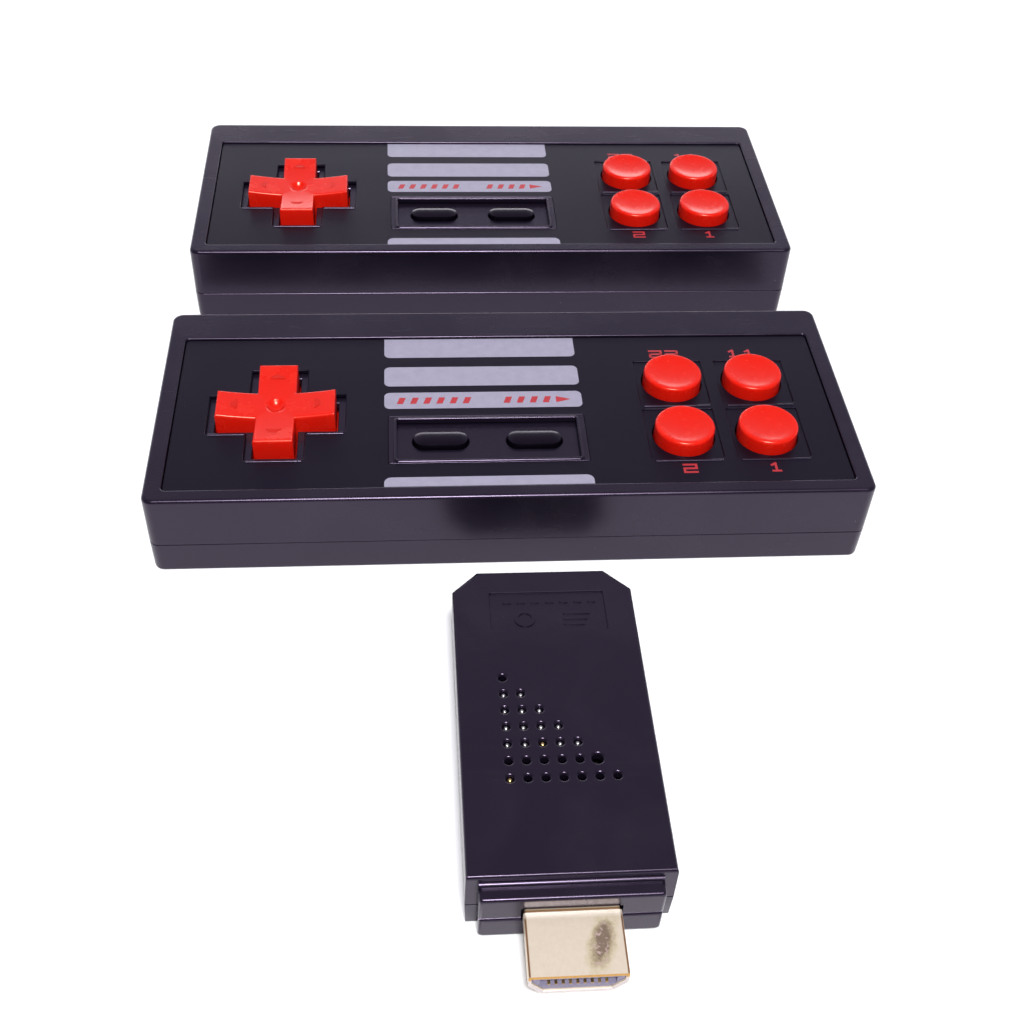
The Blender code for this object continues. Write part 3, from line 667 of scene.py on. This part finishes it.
def face_plate():
    """The sunk plate with softened outer edge, wells, cross opening and menu opening."""
    low, high = PANEL_LOW.z, PANEL_HIGH.z
    box = (PANEL_LOW.x, PANEL_HIGH.x, PANEL_LOW.y, PANEL_HIGH.y)
    levels = [(0.0, low), (0.0, high - 0.12), (0.04, high - 0.03), (0.13, high)]
    plate = stack("face_plate", levels, lambda inset: grown_box(box, -inset, 0.75))
    for well in WELLS:
        cut(plate, flared("well", lambda g: grown_box(well, g, WELL_CORNER, 4), WELL_FLOOR, high, 0.22, 3))
    for at in BUTTON_AT.values():
        cut(plate, flared("hole", lambda g: key_hole(at, g), low - 1, WELL_FLOOR, 0.08))
    cut(plate, flared("cross", lambda g: cross(CROSS_AT.xy, *(size + 2 * g for size in CROSS_RECESS)),
                      low - 1, high, 0.22, 3))
    cut(plate, flared("menu", lambda g: grown_box(BEZEL, g, BEZEL_CORNER, 4), low - 1, high, 0.06))
    return plate


def menu_bezel():
    """The small frame round the two pill keys, let into the face plate, with a bead at its window."""
    low, high = PANEL_LOW.z, PANEL_HIGH.z + 0.04
    levels = [(HAIR, low)] + quarter(HAIR, high, 0.12, 3)
    bezel = stack("menu_bezel", levels, lambda inset: grown_box(BEZEL, -inset, BEZEL_CORNER, 4))
    bead = [(-0.70, low + 0.2), (-0.70, high - 0.05), (-0.65, high + 0.10), (-0.54, high + 0.20),
            (-0.40, high + 0.27), (-0.22, high + 0.30)]
    join(bezel, stack("bead", bead, lambda inset: grown_box(WINDOW, -inset, BEZEL_CORNER, 4)))
    return cut(bezel, flared("window", lambda g: grown_box(WINDOW, g, BEZEL_CORNER, 4),
                             low - 1, high + 0.30, 0.30, 4))


def moulded_lips():
    """Fine raised lips along the front edges of the wells and of the cross recess."""
    half_span, half_arm = CROSS_RECESS[0] / 2, CROSS_RECESS[1] / 2
    x, y = CROSS_AT.x, CROSS_AT.y
    runs = [(x - half_span, x - half_arm, y - half_arm), (x + half_arm, x + half_span, y - half_arm),
            (x - half_arm, x + half_arm, y - half_span)]
    runs += [(left, right, near) for left, right, near, far in WELLS]
    surface = PANEL_HIGH.z
    bars = []
    for left, right, near in runs:
        section = arc((near - 0.48, surface - 0.10), 0.30, 200, -20, 12)
        rings = [[(at_x, at_y, z) for at_y, z in section] for at_x in (left + 0.5, right - 0.3)]
        bars.append(loft("lip", rings))
    return join(bars[0], *bars[1:])


def rubber_sheet(node):
    """The flat part of a membrane; the one under the cross is smaller and has a hole for the pivot."""
    low, high = pad_box(node)
    if node != "dpad_membrane":
        return prism("sheet", rounded_box(low.x, high.x, low.y, high.y, 1.5, 4), low.z, low.z + 0.5)
    x, y = CROSS_AT.x, CROSS_AT.y
    sheet = prism("sheet", rounded_box(x - 8.3, x + 8.3, y - 8.3, y + 8.3, 4.0, 6), low.z, low.z + 0.25)
    return cut(sheet, prism("hole", circle((x, y), 2.5, 24), low.z - 1, low.z + 1))


def rubber_dome(radius, height):
    """One springy dome, standing on z = 0."""
    profile = [(radius, 0.0), (0.93 * radius, 0.25 * height), (0.80 * radius, 0.75 * height),
               (0.74 * radius, 0.94 * height), (0.66 * radius, height)]
    return loft("dome", [[(x, y, z) for x, y in circle((0.0, 0.0), r, 32)] for r, z in profile])


def round_key():
    """A round key with a soft rim and a dished top, on its retaining flange."""
    r = BUTTON_RADIUS
    base, top = KEY_LOW.z, KEY_HIGH.z
    flange = (KEY_HIGH.x - KEY_LOW.x) / 2
    profile = [(0, base), (flange, base), (flange, CEILING - GAP), (r + 0.05, CEILING - GAP)]
    for i in range(7):
        angle = math.pi / 2 * i / 6
        profile.append((r - 0.55 + 0.55 * math.cos(angle), top - 0.55 + 0.55 * math.sin(angle)))
    dish = r - 0.75
    for i in range(1, 11):
        across = dish * (1 - i / 10)
        profile.append((across, top - 0.62 * (1 - (across / dish) ** 2) ** 0.8))
    return turned("round_key", profile, segments=72, smooth=50)


def pill_key():
    """A pill key with a gently crowned top and a crisp edge."""
    base, top = PILL_LOW.z, PILL_HIGH.z
    flange = (PILL_HIGH.x - PILL_LOW.x - PILL_SIZE[0]) / 2
    half = PILL_SIZE[1] / 2
    levels = [(-flange, base), (-flange, CEILING - GAP), (0.0, CEILING - GAP)]
    for i in range(10):
        away = half * (1 - i / 10)
        levels.append((half - away, top - away ** 2 / 9))
    return stack("pill_key", levels,
                 lambda inset: stadium((0, 0), *(size - 2 * inset for size in PILL_SIZE), 16), 60)


def rim_distance(x, y):
    """How far a point of the cross lies inside its outline."""
    span, arm = CROSS_SPAN / 2, CROSS_ARM / 2
    along, across = max(abs(x), abs(y)), min(abs(x), abs(y))
    if along > arm:
        return min(span - along, arm - across)
    return math.hypot(arm - abs(x), arm - abs(y))


def cross_height(x, y):
    """The cross key's top: a smooth hollow, a round dimple in its centre and a soft rim."""
    top = CROSS_HIGH.z - CROSS_LOW.z
    reach = max(abs(x), abs(y)) / (CROSS_SPAN / 2)
    hollow = top - 1.0 + 1.0 * reach ** 1.7
    away = math.hypot(x, y)
    bowl = DIMPLE_BOWL - math.sqrt(DIMPLE_BOWL ** 2 - min(away, DIMPLE_RADIUS) ** 2)
    dimple = bowl - (DIMPLE_BOWL - math.sqrt(DIMPLE_BOWL ** 2 - DIMPLE_RADIUS ** 2))
    inside = min(rim_distance(x, y), CROSS_RIM)
    drop = CROSS_RIM - math.sqrt(max(CROSS_RIM ** 2 - (CROSS_RIM - inside) ** 2, 0.0))
    return hollow + dimple - drop


def cross_lines():
    """Grid lines across the cross key, closer together along its edges."""
    span, arm = CROSS_SPAN / 2, CROSS_ARM / 2
    edge = [0.0, 0.03, 0.09, 0.19, 0.31, CROSS_RIM]
    inner = [arm - step for step in edge]
    inner += [inner[-1] * (1 - i / 12) for i in range(1, 12)]
    outer = [span - step for step in edge]
    outer += [arm + 0.2 + (outer[-1] - arm - 0.2) * (1 - i / 11) for i in range(1, 12)]
    half = sorted(inner + outer)
    return [-value for value in reversed(half)] + [0.0] + half


def cross_key():
    """The cross key: arms that sweep up to their tips on a round flange with a socket below."""
    arm = CROSS_ARM / 2 + 1e-6
    lines = cross_lines()
    bm = bmesh.new()
    top = {}
    for i, x in enumerate(lines):
        for j, y in enumerate(lines):
            if abs(x) <= arm or abs(y) <= arm:
                top[i, j] = bm.verts.new((x, y, cross_height(x, y)))
    for i in range(len(lines) - 1):
        for j in range(len(lines) - 1):
            corners = [(i, j), (i + 1, j), (i + 1, j + 1), (i, j + 1)]
            if all(corner in top for corner in corners):
                bm.faces.new([top[corner] for corner in corners])
    rim = [edge for edge in bm.edges if edge.is_boundary]
    skirt = bmesh.ops.extrude_edge_only(bm, edges=rim)["geom"]
    for item in skirt:
        if isinstance(item, bmesh.types.BMVert):
            item.co.z = 0.5
    bmesh.ops.contextual_create(bm, geom=[edge for edge in bm.edges if edge.is_boundary])
    key = finish_mesh("cross_key", bm, 50)
    radius = (CROSS_HIGH.x - CROSS_LOW.x) / 2
    join(key, prism("flange", circle((0, 0), radius, 64), 0.0, 1.0))
    return cut(key, prism("socket", circle((0, 0), 2.0, 24), -1.0, 2.2))


def arrow_mark():
    """One raised arrow, pointing along +Y, to lie on an arm of the cross key."""
    outline = [(-1.5, 0.0), (1.5, 0.0), (0.0, 1.7)]
    middle = 0.57
    low = [(x, y, -0.25) for x, y in outline]
    high = [(0.86 * x, 0.86 * (y - middle) + middle, 0.06) for x, y in outline]
    return loft("arrow_mark", [low, high], 20)


def door_panel():
    """The battery door: thin plate, softened edge, ribbed thumb catch."""
    x = (DOOR_HIGH.x - DOOR_LOW.x) / 2
    y = (DOOR_HIGH.y - DOOR_LOW.y) / 2
    high = DOOR_HIGH.z
    levels = [(0.25, 0.0), (0.07, 0.07), (0.0, 0.25), (0.0, high)]
    door = stack("door_panel", levels,
                 lambda inset: rounded_box(-x + inset, x - inset, -y + inset, y - inset, 0.5, 4))
    for i in range(5):
        groove = stadium((0, y - 2.0 - 1.1 * i), 12.0 - 1.6 * i, 0.5, 6)
        cut(door, prism("groove", groove, -1.0, 0.35))
    return door


# ---------------- prints on the face plate
PRINT_THICK = 0.03
SQUARE = 0.02
# near and far edge of each stripe, then the radius of its near and of its far corners
STRIPES = {
    "stripe_1": (12.45, 18.2, 1.1, SQUARE),
    "stripe_2": (3.85, 9.55, 1.1, 1.1),
    "stripe_3": (-2.65, 1.95, 1.1, 1.1),
    "stripe_4": (-23.5, -21.15, SQUARE, 1.3),
}


def printed(name, *outlines):
    """Flat shapes raised a hair into one piece; overlapping ones are united."""
    first = prism(name, outlines[0], 0.0, PRINT_THICK, 0)
    for outline in outlines[1:]:
        combine(first, [prism("more", outline, 0.0, PRINT_THICK, 0)], "UNION")
    return first


def menu_marks():
    """Rows of plain slanted bars above the pill keys; the right row ends in an arrowhead."""
    shapes = []
    low, tall, wide, lean = -1.3, 1.75, 1.15, 0.55
    for start, count in ((-20.6, 6), (-0.7, 4)):
        for i in range(count):
            x = start + 2.45 * i
            shapes.append([(x, low), (x + wide, low), (x + wide + lean, low + tall), (x + lean, low + tall)])
    return shapes + [[(9.2, low), (12.0, low + tall / 2), (9.2, low + tall)]]


def stroke(x0, y0, x1, y1):
    """One straight pen stroke, square-ended."""
    along = Vector((x1 - x0, y1 - y0)).normalized() * (PEN_WIDTH / 2)
    side = Vector((-along.y, along.x))
    a = Vector((x0, y0)) - along
    b = Vector((x1, y1)) + along
    return [tuple(a - side), tuple(b - side), tuple(b + side), tuple(a + side)]


# each numeral is drawn on a grid of half-widths and half-heights from its lower left corner
NUMERALS = {
    "1": [(1, 0, 1, 2), (0.4, 1.6, 1, 2), (0.4, 0, 1.6, 0)],
    "2": [(0, 2, 2, 2), (2, 2, 2, 1), (2, 1, 0, 1), (0, 1, 0, 0), (0, 0, 2, 0)],
}
NUMERAL_SIZE = (2.2, 1.95)
PEN_WIDTH = 0.46
NUMBER_AT = {"1": (47.3, -20.0), "2": (31.7, -20.0), "22": (31.6, 12.85), "11": (47.0, 12.85)}


def numeral(signs):
    """The strokes of a number about its own middle."""
    width, height = NUMERAL_SIZE
    strokes = []
    for place, sign in enumerate(signs):
        left = (place - len(signs) / 2) * (width + 1.0) + 0.5
        strokes += [stroke(left + x0 * width / 2, (y0 - 1) * height / 2, left + x1 * width / 2,
                           (y1 - 1) * height / 2) for x0, y0, x1, y1 in NUMERALS[sign]]
    return strokes


# ---------------- console stick shapes
def neck_block(low, high, top):
    """The collar round the plug, with a soft front rim."""
    half = NECK_WIDTH / 2
    front = NECK_FRONT
    back = -STICK_LENGTH / 2 + 1.0
    soft = 0.55
    if top:
        section = [(-half, low), (half, low)] + arc((half - soft, high - soft), soft, 0, 90, 4)
        section += arc((-half + soft, high - soft), soft, 90, 180, 4)
    else:
        section = arc((-half + soft, low + soft), soft, 180, 270, 4)
        section += arc((half - soft, low + soft), soft, 270, 360, 4) + [(half, high), (-half, high)]
    middle = Vector((0.0, (low + high) / 2))
    rings = []
    for shrink, y in ((0.55, front), (0.34, front + 0.04), (0.16, front + 0.16), (0.04, front + 0.34),
                      (0.0, front + 0.55), (0.0, back)):
        scale_x = (half - shrink) / half
        scale_z = ((high - low) / 2 - shrink) / ((high - low) / 2)
        rings.append([(x * scale_x, y, middle.y + (z - middle.y) * scale_z) for x, z in section])
    return loft("neck", rings)


def neck_ridge():
    """A low bar across the neck where it leaves the case."""
    half = NECK_WIDTH / 2 - 0.1
    back = -STICK_LENGTH / 2
    low, high = NECK_Z[1] - 0.5, NECK_Z[1] + 0.65
    rings = []
    for y, z in ((back + 0.5, high), (back, high), (back - 0.17, high - 0.05), (back - 0.30, high - 0.15),
                 (back - 0.38, high - 0.30), (back - 0.40, high - 0.50)):
        rings.append([(across, y, up) for across, up in rectangle(-half, half, low, z)])
    return loft("neck_ridge", rings)


def plug_outline(grow, soft=0.0):
    """The plug's section in X and Z about its own middle; the lower corners are cut in."""
    half = (PLUG_HIGH.x - PLUG_LOW.x) / 2 + grow
    tall = (PLUG_HIGH.z - PLUG_LOW.z) / 2 + grow
    foot = half - 1.75
    corners = [(-foot, -tall), (foot, -tall), (half, -tall + 2.0), (half, tall), (-half, tall),
               (-half, -tall + 2.0)]
    if not soft:
        return corners
    points = []
    for i, corner in enumerate(corners):
        here = Vector(corner)
        before = (Vector(corners[i - 1]) - here).normalized() * soft
        after = (Vector(corners[(i + 1) % 6]) - here).normalized() * soft
        for step in range(5):
            t = step / 4
            points.append(tuple((1 - t) ** 2 * (here + before) + 2 * t * (1 - t) * here
                                + t ** 2 * (here + after)))
    return points


PLUG_MIDDLE = (PLUG_LOW.z + PLUG_HIGH.z) / 2
PLUG_TIP = PLUG_LOW.y - STICK_Y
PLUG_BACK = PLUG_HIGH.y - STICK_Y


def along_y(name, stations):
    """A solid through sections at stations (y, outline), each outline about the plug's middle."""
    return loft(name, [[(x, y, z + PLUG_MIDDLE) for x, z in outline] for y, outline in stations])


def plug_way():
    return along_y("plug_way", [(NECK_FRONT - 1, plug_outline(0.25)), (PLUG_BACK, plug_outline(0.25))])


def vent_spots():
    """The triangle of vent holes: row, column, centre and radius of each."""
    for row in range(VENT_ROWS):
        for column in range(row + 1):
            centre = (VENT_START[0] + column * VENT_PITCH[0], VENT_START[1] - row * VENT_PITCH[1])
            wide = row == VENT_ROWS - 2 and column == row
            yield row, column, centre, WIDE_VENT_RADIUS if wide else VENT_RADIUS


def upper_case():
    low, high = UPPER_LOW.z, UPPER_HIGH.z
    levels = [(HAIR, low), (0.0, low + HAIR)] + quarter(0.03, high, 0.60, 6)
    shell = stack("upper_case", levels, stick_outline, 20)
    join(shell, neck_block(low, NECK_Z[1], True), neck_ridge())
    cut(shell, prism("cavity", stick_outline(1.8, STICK_CHAMFER - 0.6), low - 1, 10.9), plug_way())
    cut(shell, flared("label", lambda g: grown_box(LABEL, g, 0.4, 4), high - LABEL_DEPTH, high, 0.08))
    for row, column, centre, radius in vent_spots():
        cut(shell, flared("vent", lambda g: circle(centre, radius + g, 24), 10.0, high, 0.48, 5))
    usb_low, usb_high = box_mm("console_usb_power_socket", (STICK_X, STICK_Y))
    power = rounded_box(usb_low.x - 0.3, usb_high.x + 0.3, usb_low.z - 0.3, usb_high.z + 0.3, 0.6, 4)
    far = STICK_LENGTH / 2
    opening = loft("power", [[(x, y, z) for x, z in power] for y in (far - 4, far + 1)])
    return combine(shell, (opening,), "DIFFERENCE", 24)


def lower_case():
    rim = UPPER_LOW.z - SEAM
    levels = [(0.55, 0.0), (0.30, 0.08), (0.15, 0.30), (0.0, rim - HAIR), (HAIR, rim)]
    shell = stack("lower_case", levels, stick_outline)
    join(shell, neck_block(NECK_Z[0], rim, False))
    return cut(shell, prism("cavity", stick_outline(1.6, STICK_CHAMFER - 0.6), 1.6, rim + 1), plug_way())


def plug_sleeve():
    """The folded metal sleeve: a root collar, the main box with a rolled lip, and its open mouth."""
    outside = ((PLUG_TIP, -0.16), (PLUG_TIP + 0.10, -0.03), (PLUG_TIP + 0.28, 0.0),
               (SLEEVE_STEP - 0.18, 0.0), (SLEEVE_STEP, -0.22), (PLUG_BACK, -0.22))
    inside = ((PLUG_TIP - 1, -0.36), (PLUG_TIP + 0.02, -0.36), (PLUG_TIP + 0.2, -0.50),
              (PLUG_BACK + 1, -0.50))
    sleeve = along_y("plug_sleeve", [(y, plug_outline(grow, 0.34)) for y, grow in outside])
    return cut(sleeve, along_y("bore", [(y, plug_outline(grow)) for y, grow in inside]))


def plug_core():
    """The dark moulded core behind the mouth, with its slot."""
    core = along_y("plug_core", [(y, plug_outline(-0.62)) for y in (PLUG_TIP + 0.35, PLUG_BACK)])
    return cut(core, along_y("slot", [(y, rectangle(*PLUG_SLOT)) for y in (PLUG_TIP - 1, PLUG_TIP + 8.0)]))


def plug_contacts():
    """Two rows of gilt contact tips inside the slot, ten above and nine below."""
    pieces = []
    for count, z, drop in ((10, PLUG_SLOT[3], -0.22), (9, PLUG_SLOT[2], 0.22)):
        for i in range(count):
            x = i - (count - 1) / 2
            section = rectangle(x - 0.2, x + 0.2, *sorted((z, z + drop)))
            pieces.append(along_y("contact", [(PLUG_TIP + 0.45, section), (PLUG_TIP + 7.8, section)]))
    return pieces


def vent_pips():
    """Shiny pips under the vent holes; two of them are gilt."""
    high = UPPER_HIGH.z - 0.30
    pips = {"steel": [], "contact": []}
    for row, column, centre, radius in vent_spots():
        if 0 < row < VENT_ROWS - 2 or (row, column) == (VENT_ROWS - 1, 0):
            look = "contact" if (row, column) in ((4, 2), (VENT_ROWS - 1, 0)) else "steel"
            profile = [(0, high - 1.2), (PIP_RADIUS, high - 1.2)]
            profile += [(PIP_RADIUS * math.cos(angle), high - PIP_RADIUS + PIP_RADIUS * math.sin(angle))
                        for angle in (0, 0.3, 0.6, 0.9, 1.2)]
            pips[look].append(turned("pip", profile + [(0, high)], centre, 20))
    return pips


def label_marks():
    """Raised plain marks in the label recess: a row of dashes, a ring and three bars."""
    low = UPPER_HIGH.z - 0.42
    high = UPPER_HIGH.z - 0.16
    x0, x1, y0, y1 = LABEL
    pieces = []
    for i in range(7):
        x = x0 + 2.2 + i * 2.35
        pieces.append(prism("dash", rounded_box(x, x + 1.3, y1 - 2.3, y1 - 1.7, 0.2, 4), low, high))
    centre = (x0 + 5.6, y0 + 2.9)
    ring = turned("ring", [(0, low), (1.7, low), (1.7, high), (0, high)], centre, 32)
    cut(ring, prism("eye", circle(centre, 1.15, 24), low - 1, high + 1))
    pieces.append(ring)
    for i in range(3):
        y = y0 + 1.4 + i * 1.15
        pieces.append(prism("bar", rounded_box(x1 - 7.0, x1 - 3.6 + 0.5 * i, y, y + 0.5, 0.2, 4), low, high))
    return pieces


# ---------------- building the controllers
def controller_shapes():
    """Every mesh of one controller that this script makes, built once and used twice."""
    shapes = {}
    curved = (moulded_lips, round_key, pill_key, cross_key, arrow_mark)
    for make in (case_top, case_bottom, face_plate, menu_bezel, *curved, door_panel):
        made = make() if make in curved else level_normals(make())
        shapes[make.__name__] = take_mesh(made)
    shapes["menu_marks"] = [take_mesh(printed("menu_mark", outline)) for outline in menu_marks()]
    for name, (y0, y1, near, far) in STRIPES.items():
        shapes[name] = take_mesh(printed(name, rounded_box(*STRIPE_X, y0, y1, near, 8, far)))
    for signs in NUMBER_AT:
        number = f"number_{signs}"
        shapes[number] = take_mesh(printed(number, *numeral(signs)))
    return shapes


DPAD_DOME_AT = 7.2


def build_membranes(name):
    """Rubber sheets with one dome under each key."""
    origin = ORIGIN[name]
    for node in ("dpad_membrane", "menu_membrane", "action_membrane"):
        install(f"{name}_{node}_sheet", take_mesh(rubber_sheet(node)), "rubber", f"{name}_case",
                (origin.x, origin.y, 0.0), [f"{name}_{node}"])
    domes = [(key, "action_membrane", at, 4.4, f"{key}_press", 1.3) for key, at in BUTTON_AT.items()]
    domes += [(key, "menu_membrane", at, 3.0, f"{key}_press", 0.9) for key, at in PILL_AT.items()]
    for side, right, rear, joint in (("right", 1, 0, "dpad_left_right"), ("left", -1, 0, "dpad_left_right"),
                                     ("rear", 0, 1, "dpad_up_down"), ("front", 0, -1, "dpad_up_down")):
        centre = Vector((CROSS_AT.x + DPAD_DOME_AT * right, CROSS_AT.y + DPAD_DOME_AT * rear, 0.0))
        domes.append((f"dpad_{side}", "dpad_membrane", centre, 2.8, joint, 0.6))
    for key, node, centre, radius, joint, travel in domes:
        low, high = pad_box(node)
        base = low.z + 0.2
        height = high.z - base
        place = (origin.x + centre.x, origin.y + centre.y, base)
        dome = install(f"{name}_{key}_dome", take_mesh(rubber_dome(radius, height)), "rubber",
                       f"{name}_case", place)
        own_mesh(dome)


def build_controller(name, shapes):
    origin = ORIGIN[name]
    case = f"{name}_case"

    def at(x, y, z=0.0):
        return (origin.x + x, origin.y + y, z)

    for piece, look, slot, node in (
            ("case_top", "case", "case_black", "top_shell"),
            ("case_bottom", "case", "case_black", "bottom_shell"),
            ("face_plate", "panel", "panel_black", "face_panel"),
            ("menu_bezel", "case", "panel_black", None),
            ("moulded_lips", "case", "panel_black", None)):
        install(f"{name}_{piece}", shapes[piece], look, case, at(0, 0), node and [f"{name}_{node}"])
    surface = PANEL_HIGH.z + 0.001
    prints = [(stripe_name, shapes[stripe_name], "stripe", at(0, 0, surface)) for stripe_name in STRIPES]
    prints += [(f"menu_mark_{i + 1}", mesh, "legend", at(0, 0, surface + PRINT_THICK))
               for i, mesh in enumerate(shapes["menu_marks"])]
    prints += [(f"number_{signs}", shapes[f"number_{signs}"], "legend", at(x, y, surface))
               for signs, (x, y) in NUMBER_AT.items()]
    for piece, mesh, look, place in prints:
        install(f"{name}_{piece}", mesh, look, case, place)
    for keys, shape, look, slot in ((BUTTON_AT, "round_key", "red", "key_red"),
                                    (PILL_AT, "pill_key", "pill", "pill_black")):
        for key, centre in keys.items():
            install(f"{name}_{key}_cap", shapes[shape], look, f"{name}_{key}", at(centre.x, centre.y),
                    [f"{name}_{key}"])
    install(f"{name}_cross_key", shapes["cross_key"], "red", f"{name}_dpad",
            at(CROSS_AT.x, CROSS_AT.y, CROSS_LOW.z), [f"{name}_dpad"])
    arrow_at = 7.0
    arrow_z = CROSS_LOW.z + cross_height(arrow_at + 0.6, 0)
    for i in range(4):
        turn = math.pi / 2 * i
        arrow = install(f"{name}_arrow_{i + 1}", shapes["arrow_mark"], "red", f"{name}_dpad",
                        at(CROSS_AT.x - arrow_at * math.sin(turn), CROSS_AT.y + arrow_at * math.cos(turn),
                           arrow_z))
        arrow.rotation_euler.z = turn
    door = (DOOR_LOW + DOOR_HIGH) / 2
    install(f"{name}_door_panel", shapes["door_panel"], "case", f"{name}_battery_door", at(door.x, door.y),
            [f"{name}_battery_door"])


def build_stick():
    place = (STICK_X, STICK_Y, 0.0)
    for make, look, slot, node in ((upper_case, "case", "case_black", "upper_shell"),
                                   (lower_case, "case", "case_black", "lower_shell"),
                                   (plug_sleeve, "gilt", "plug_gilt", "hdmi_shell"),
                                   (plug_core, "insulator", "plug_insulator", "hdmi_insulator")):
        install(f"stick_{make.__name__}", take_mesh(level_normals(make())), look, "console", place,
                [f"console_{node}"])
    groups = [("contact", "contact", plug_contacts(), "plug_gilt")]
    groups += [(f"vent_pip_{look}", look, pieces, "spring_steel") for look, pieces in vent_pips().items()]
    groups.append(("label_mark", "case", label_marks(), "case_black"))
    for kind, look, pieces, slot in groups:
        for i, piece in enumerate(pieces):
            install(f"stick_{kind}_{i + 1}", take_mesh(piece), look, "console", place)


KEPT_LOOKS = {
    "board": ("circuit_board", "main_board", "wireless_module"),
    "cell": ("battery_front", "battery_rear"),
    "steel": ("contact", "screw", "dpad_pivot", "crystal", "usb_power_socket"),
    "chip": ("processor", "flash_memory"),
}


def dress_kept_nodes():
    """Inner CAD parts keep their shape and get their finish here."""
    for node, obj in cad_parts.items():
        for look, words in KEPT_LOOKS.items():
            if any(word in node for word in words):
                obj.data.materials.clear()
                obj.data.materials.append(LOOK[look])


# ---------------- stage
WALL_LIGHT = (0.58, 0.56, 0.66, 1.0)
ZENITH_LIGHT = (0.40, 0.38, 0.45, 1.0)
FLOOR_HALF = 1500.0


def build_stage():
    """A white floor in a pale violet room, dimmer in front, with a lamp in front and a strip behind."""
    bm = bmesh.new()
    bmesh.ops.create_grid(bm, x_segments=1, y_segments=1, size=FLOOR_HALF)
    floor = finish_mesh("floor", bm, 0)
    look = Shading("floor_white", (0.93, 0.93, 0.94), 0.65)
    floor.data.materials.append(look.done())
    world = bpy.data.worlds.new("studio")
    bpy.context.scene.world = world
    world.use_nodes = True
    tree = world.node_tree
    toward = add_node(tree, "ShaderNodeTexCoord").outputs["Generated"]
    split = add_node(tree, "ShaderNodeSeparateXYZ", {"Vector": toward})
    high = add_node(tree, "ShaderNodeMapRange",
                    {"Value": split.outputs["Z"], "From Min": 0.40, "From Max": 0.85})
    rear = add_node(tree, "ShaderNodeMapRange",
                    {"Value": split.outputs["Y"], "From Min": -0.10, "From Max": 0.45, "To Min": 0.22})
    blend = add_node(tree, "ShaderNodeMix",
                     {"Factor": high.outputs["Result"], "A": WALL_LIGHT, "B": ZENITH_LIGHT}, data_type="RGBA")
    wire(tree, tree.nodes["Background"],
         {"Strength": rear.outputs["Result"], "Color": blend.outputs["Result"]})
    add_light("front_lamp", (0.0, -0.84, 1.60), (0.0, 0.0, 0.0), (0.36, 0.28), 43.0)
    add_light("rear_strip", (0.0, 1.1, 0.23), (0.0, 0.05, 0.0), (0.9, 0.28), 2.2)


def add_light(name, place, target, size, power):
    light = bpy.data.lights.new(name, "AREA")
    light.shape = "RECTANGLE"
    light.size, light.size_y = size
    light.energy = power
    obj = bpy.data.objects.new(name, light)
    bpy.context.scene.collection.objects.link(obj)
    obj.location = place
    obj.rotation_euler = (Vector(target) - Vector(place)).to_track_quat("-Z", "Y").to_euler()


def build_camera():
    """The camera stands in front, to the left, and looks down at about 45 degrees."""
    lens = bpy.data.cameras.new("camera")
    lens.sensor_width = 36.0
    lens.lens = 47.23
    camera = bpy.data.objects.new("camera", lens)
    bpy.context.scene.collection.objects.link(camera)
    forward = Vector((0.0764710, 0.7056803, -0.7043916))
    up = Vector((0.0182996, 0.7053479, 0.7086251))
    right = forward.cross(up)
    turn = Matrix((right, up, -forward)).transposed().to_4x4()
    camera.matrix_world = Matrix.Translation(Vector((-0.018767, -0.189590, 0.179508))) @ turn
    bpy.context.scene.camera = camera
    bpy.context.scene.view_settings.view_transform = "Standard"


def main():
    shapes = controller_shapes()
    for name in CONTROLLERS:
        build_controller(name, shapes)
        build_membranes(name)
    build_stick()
    dress_kept_nodes()
    build_stage()
    build_camera()


main()
bpy.context.view_layer.update()
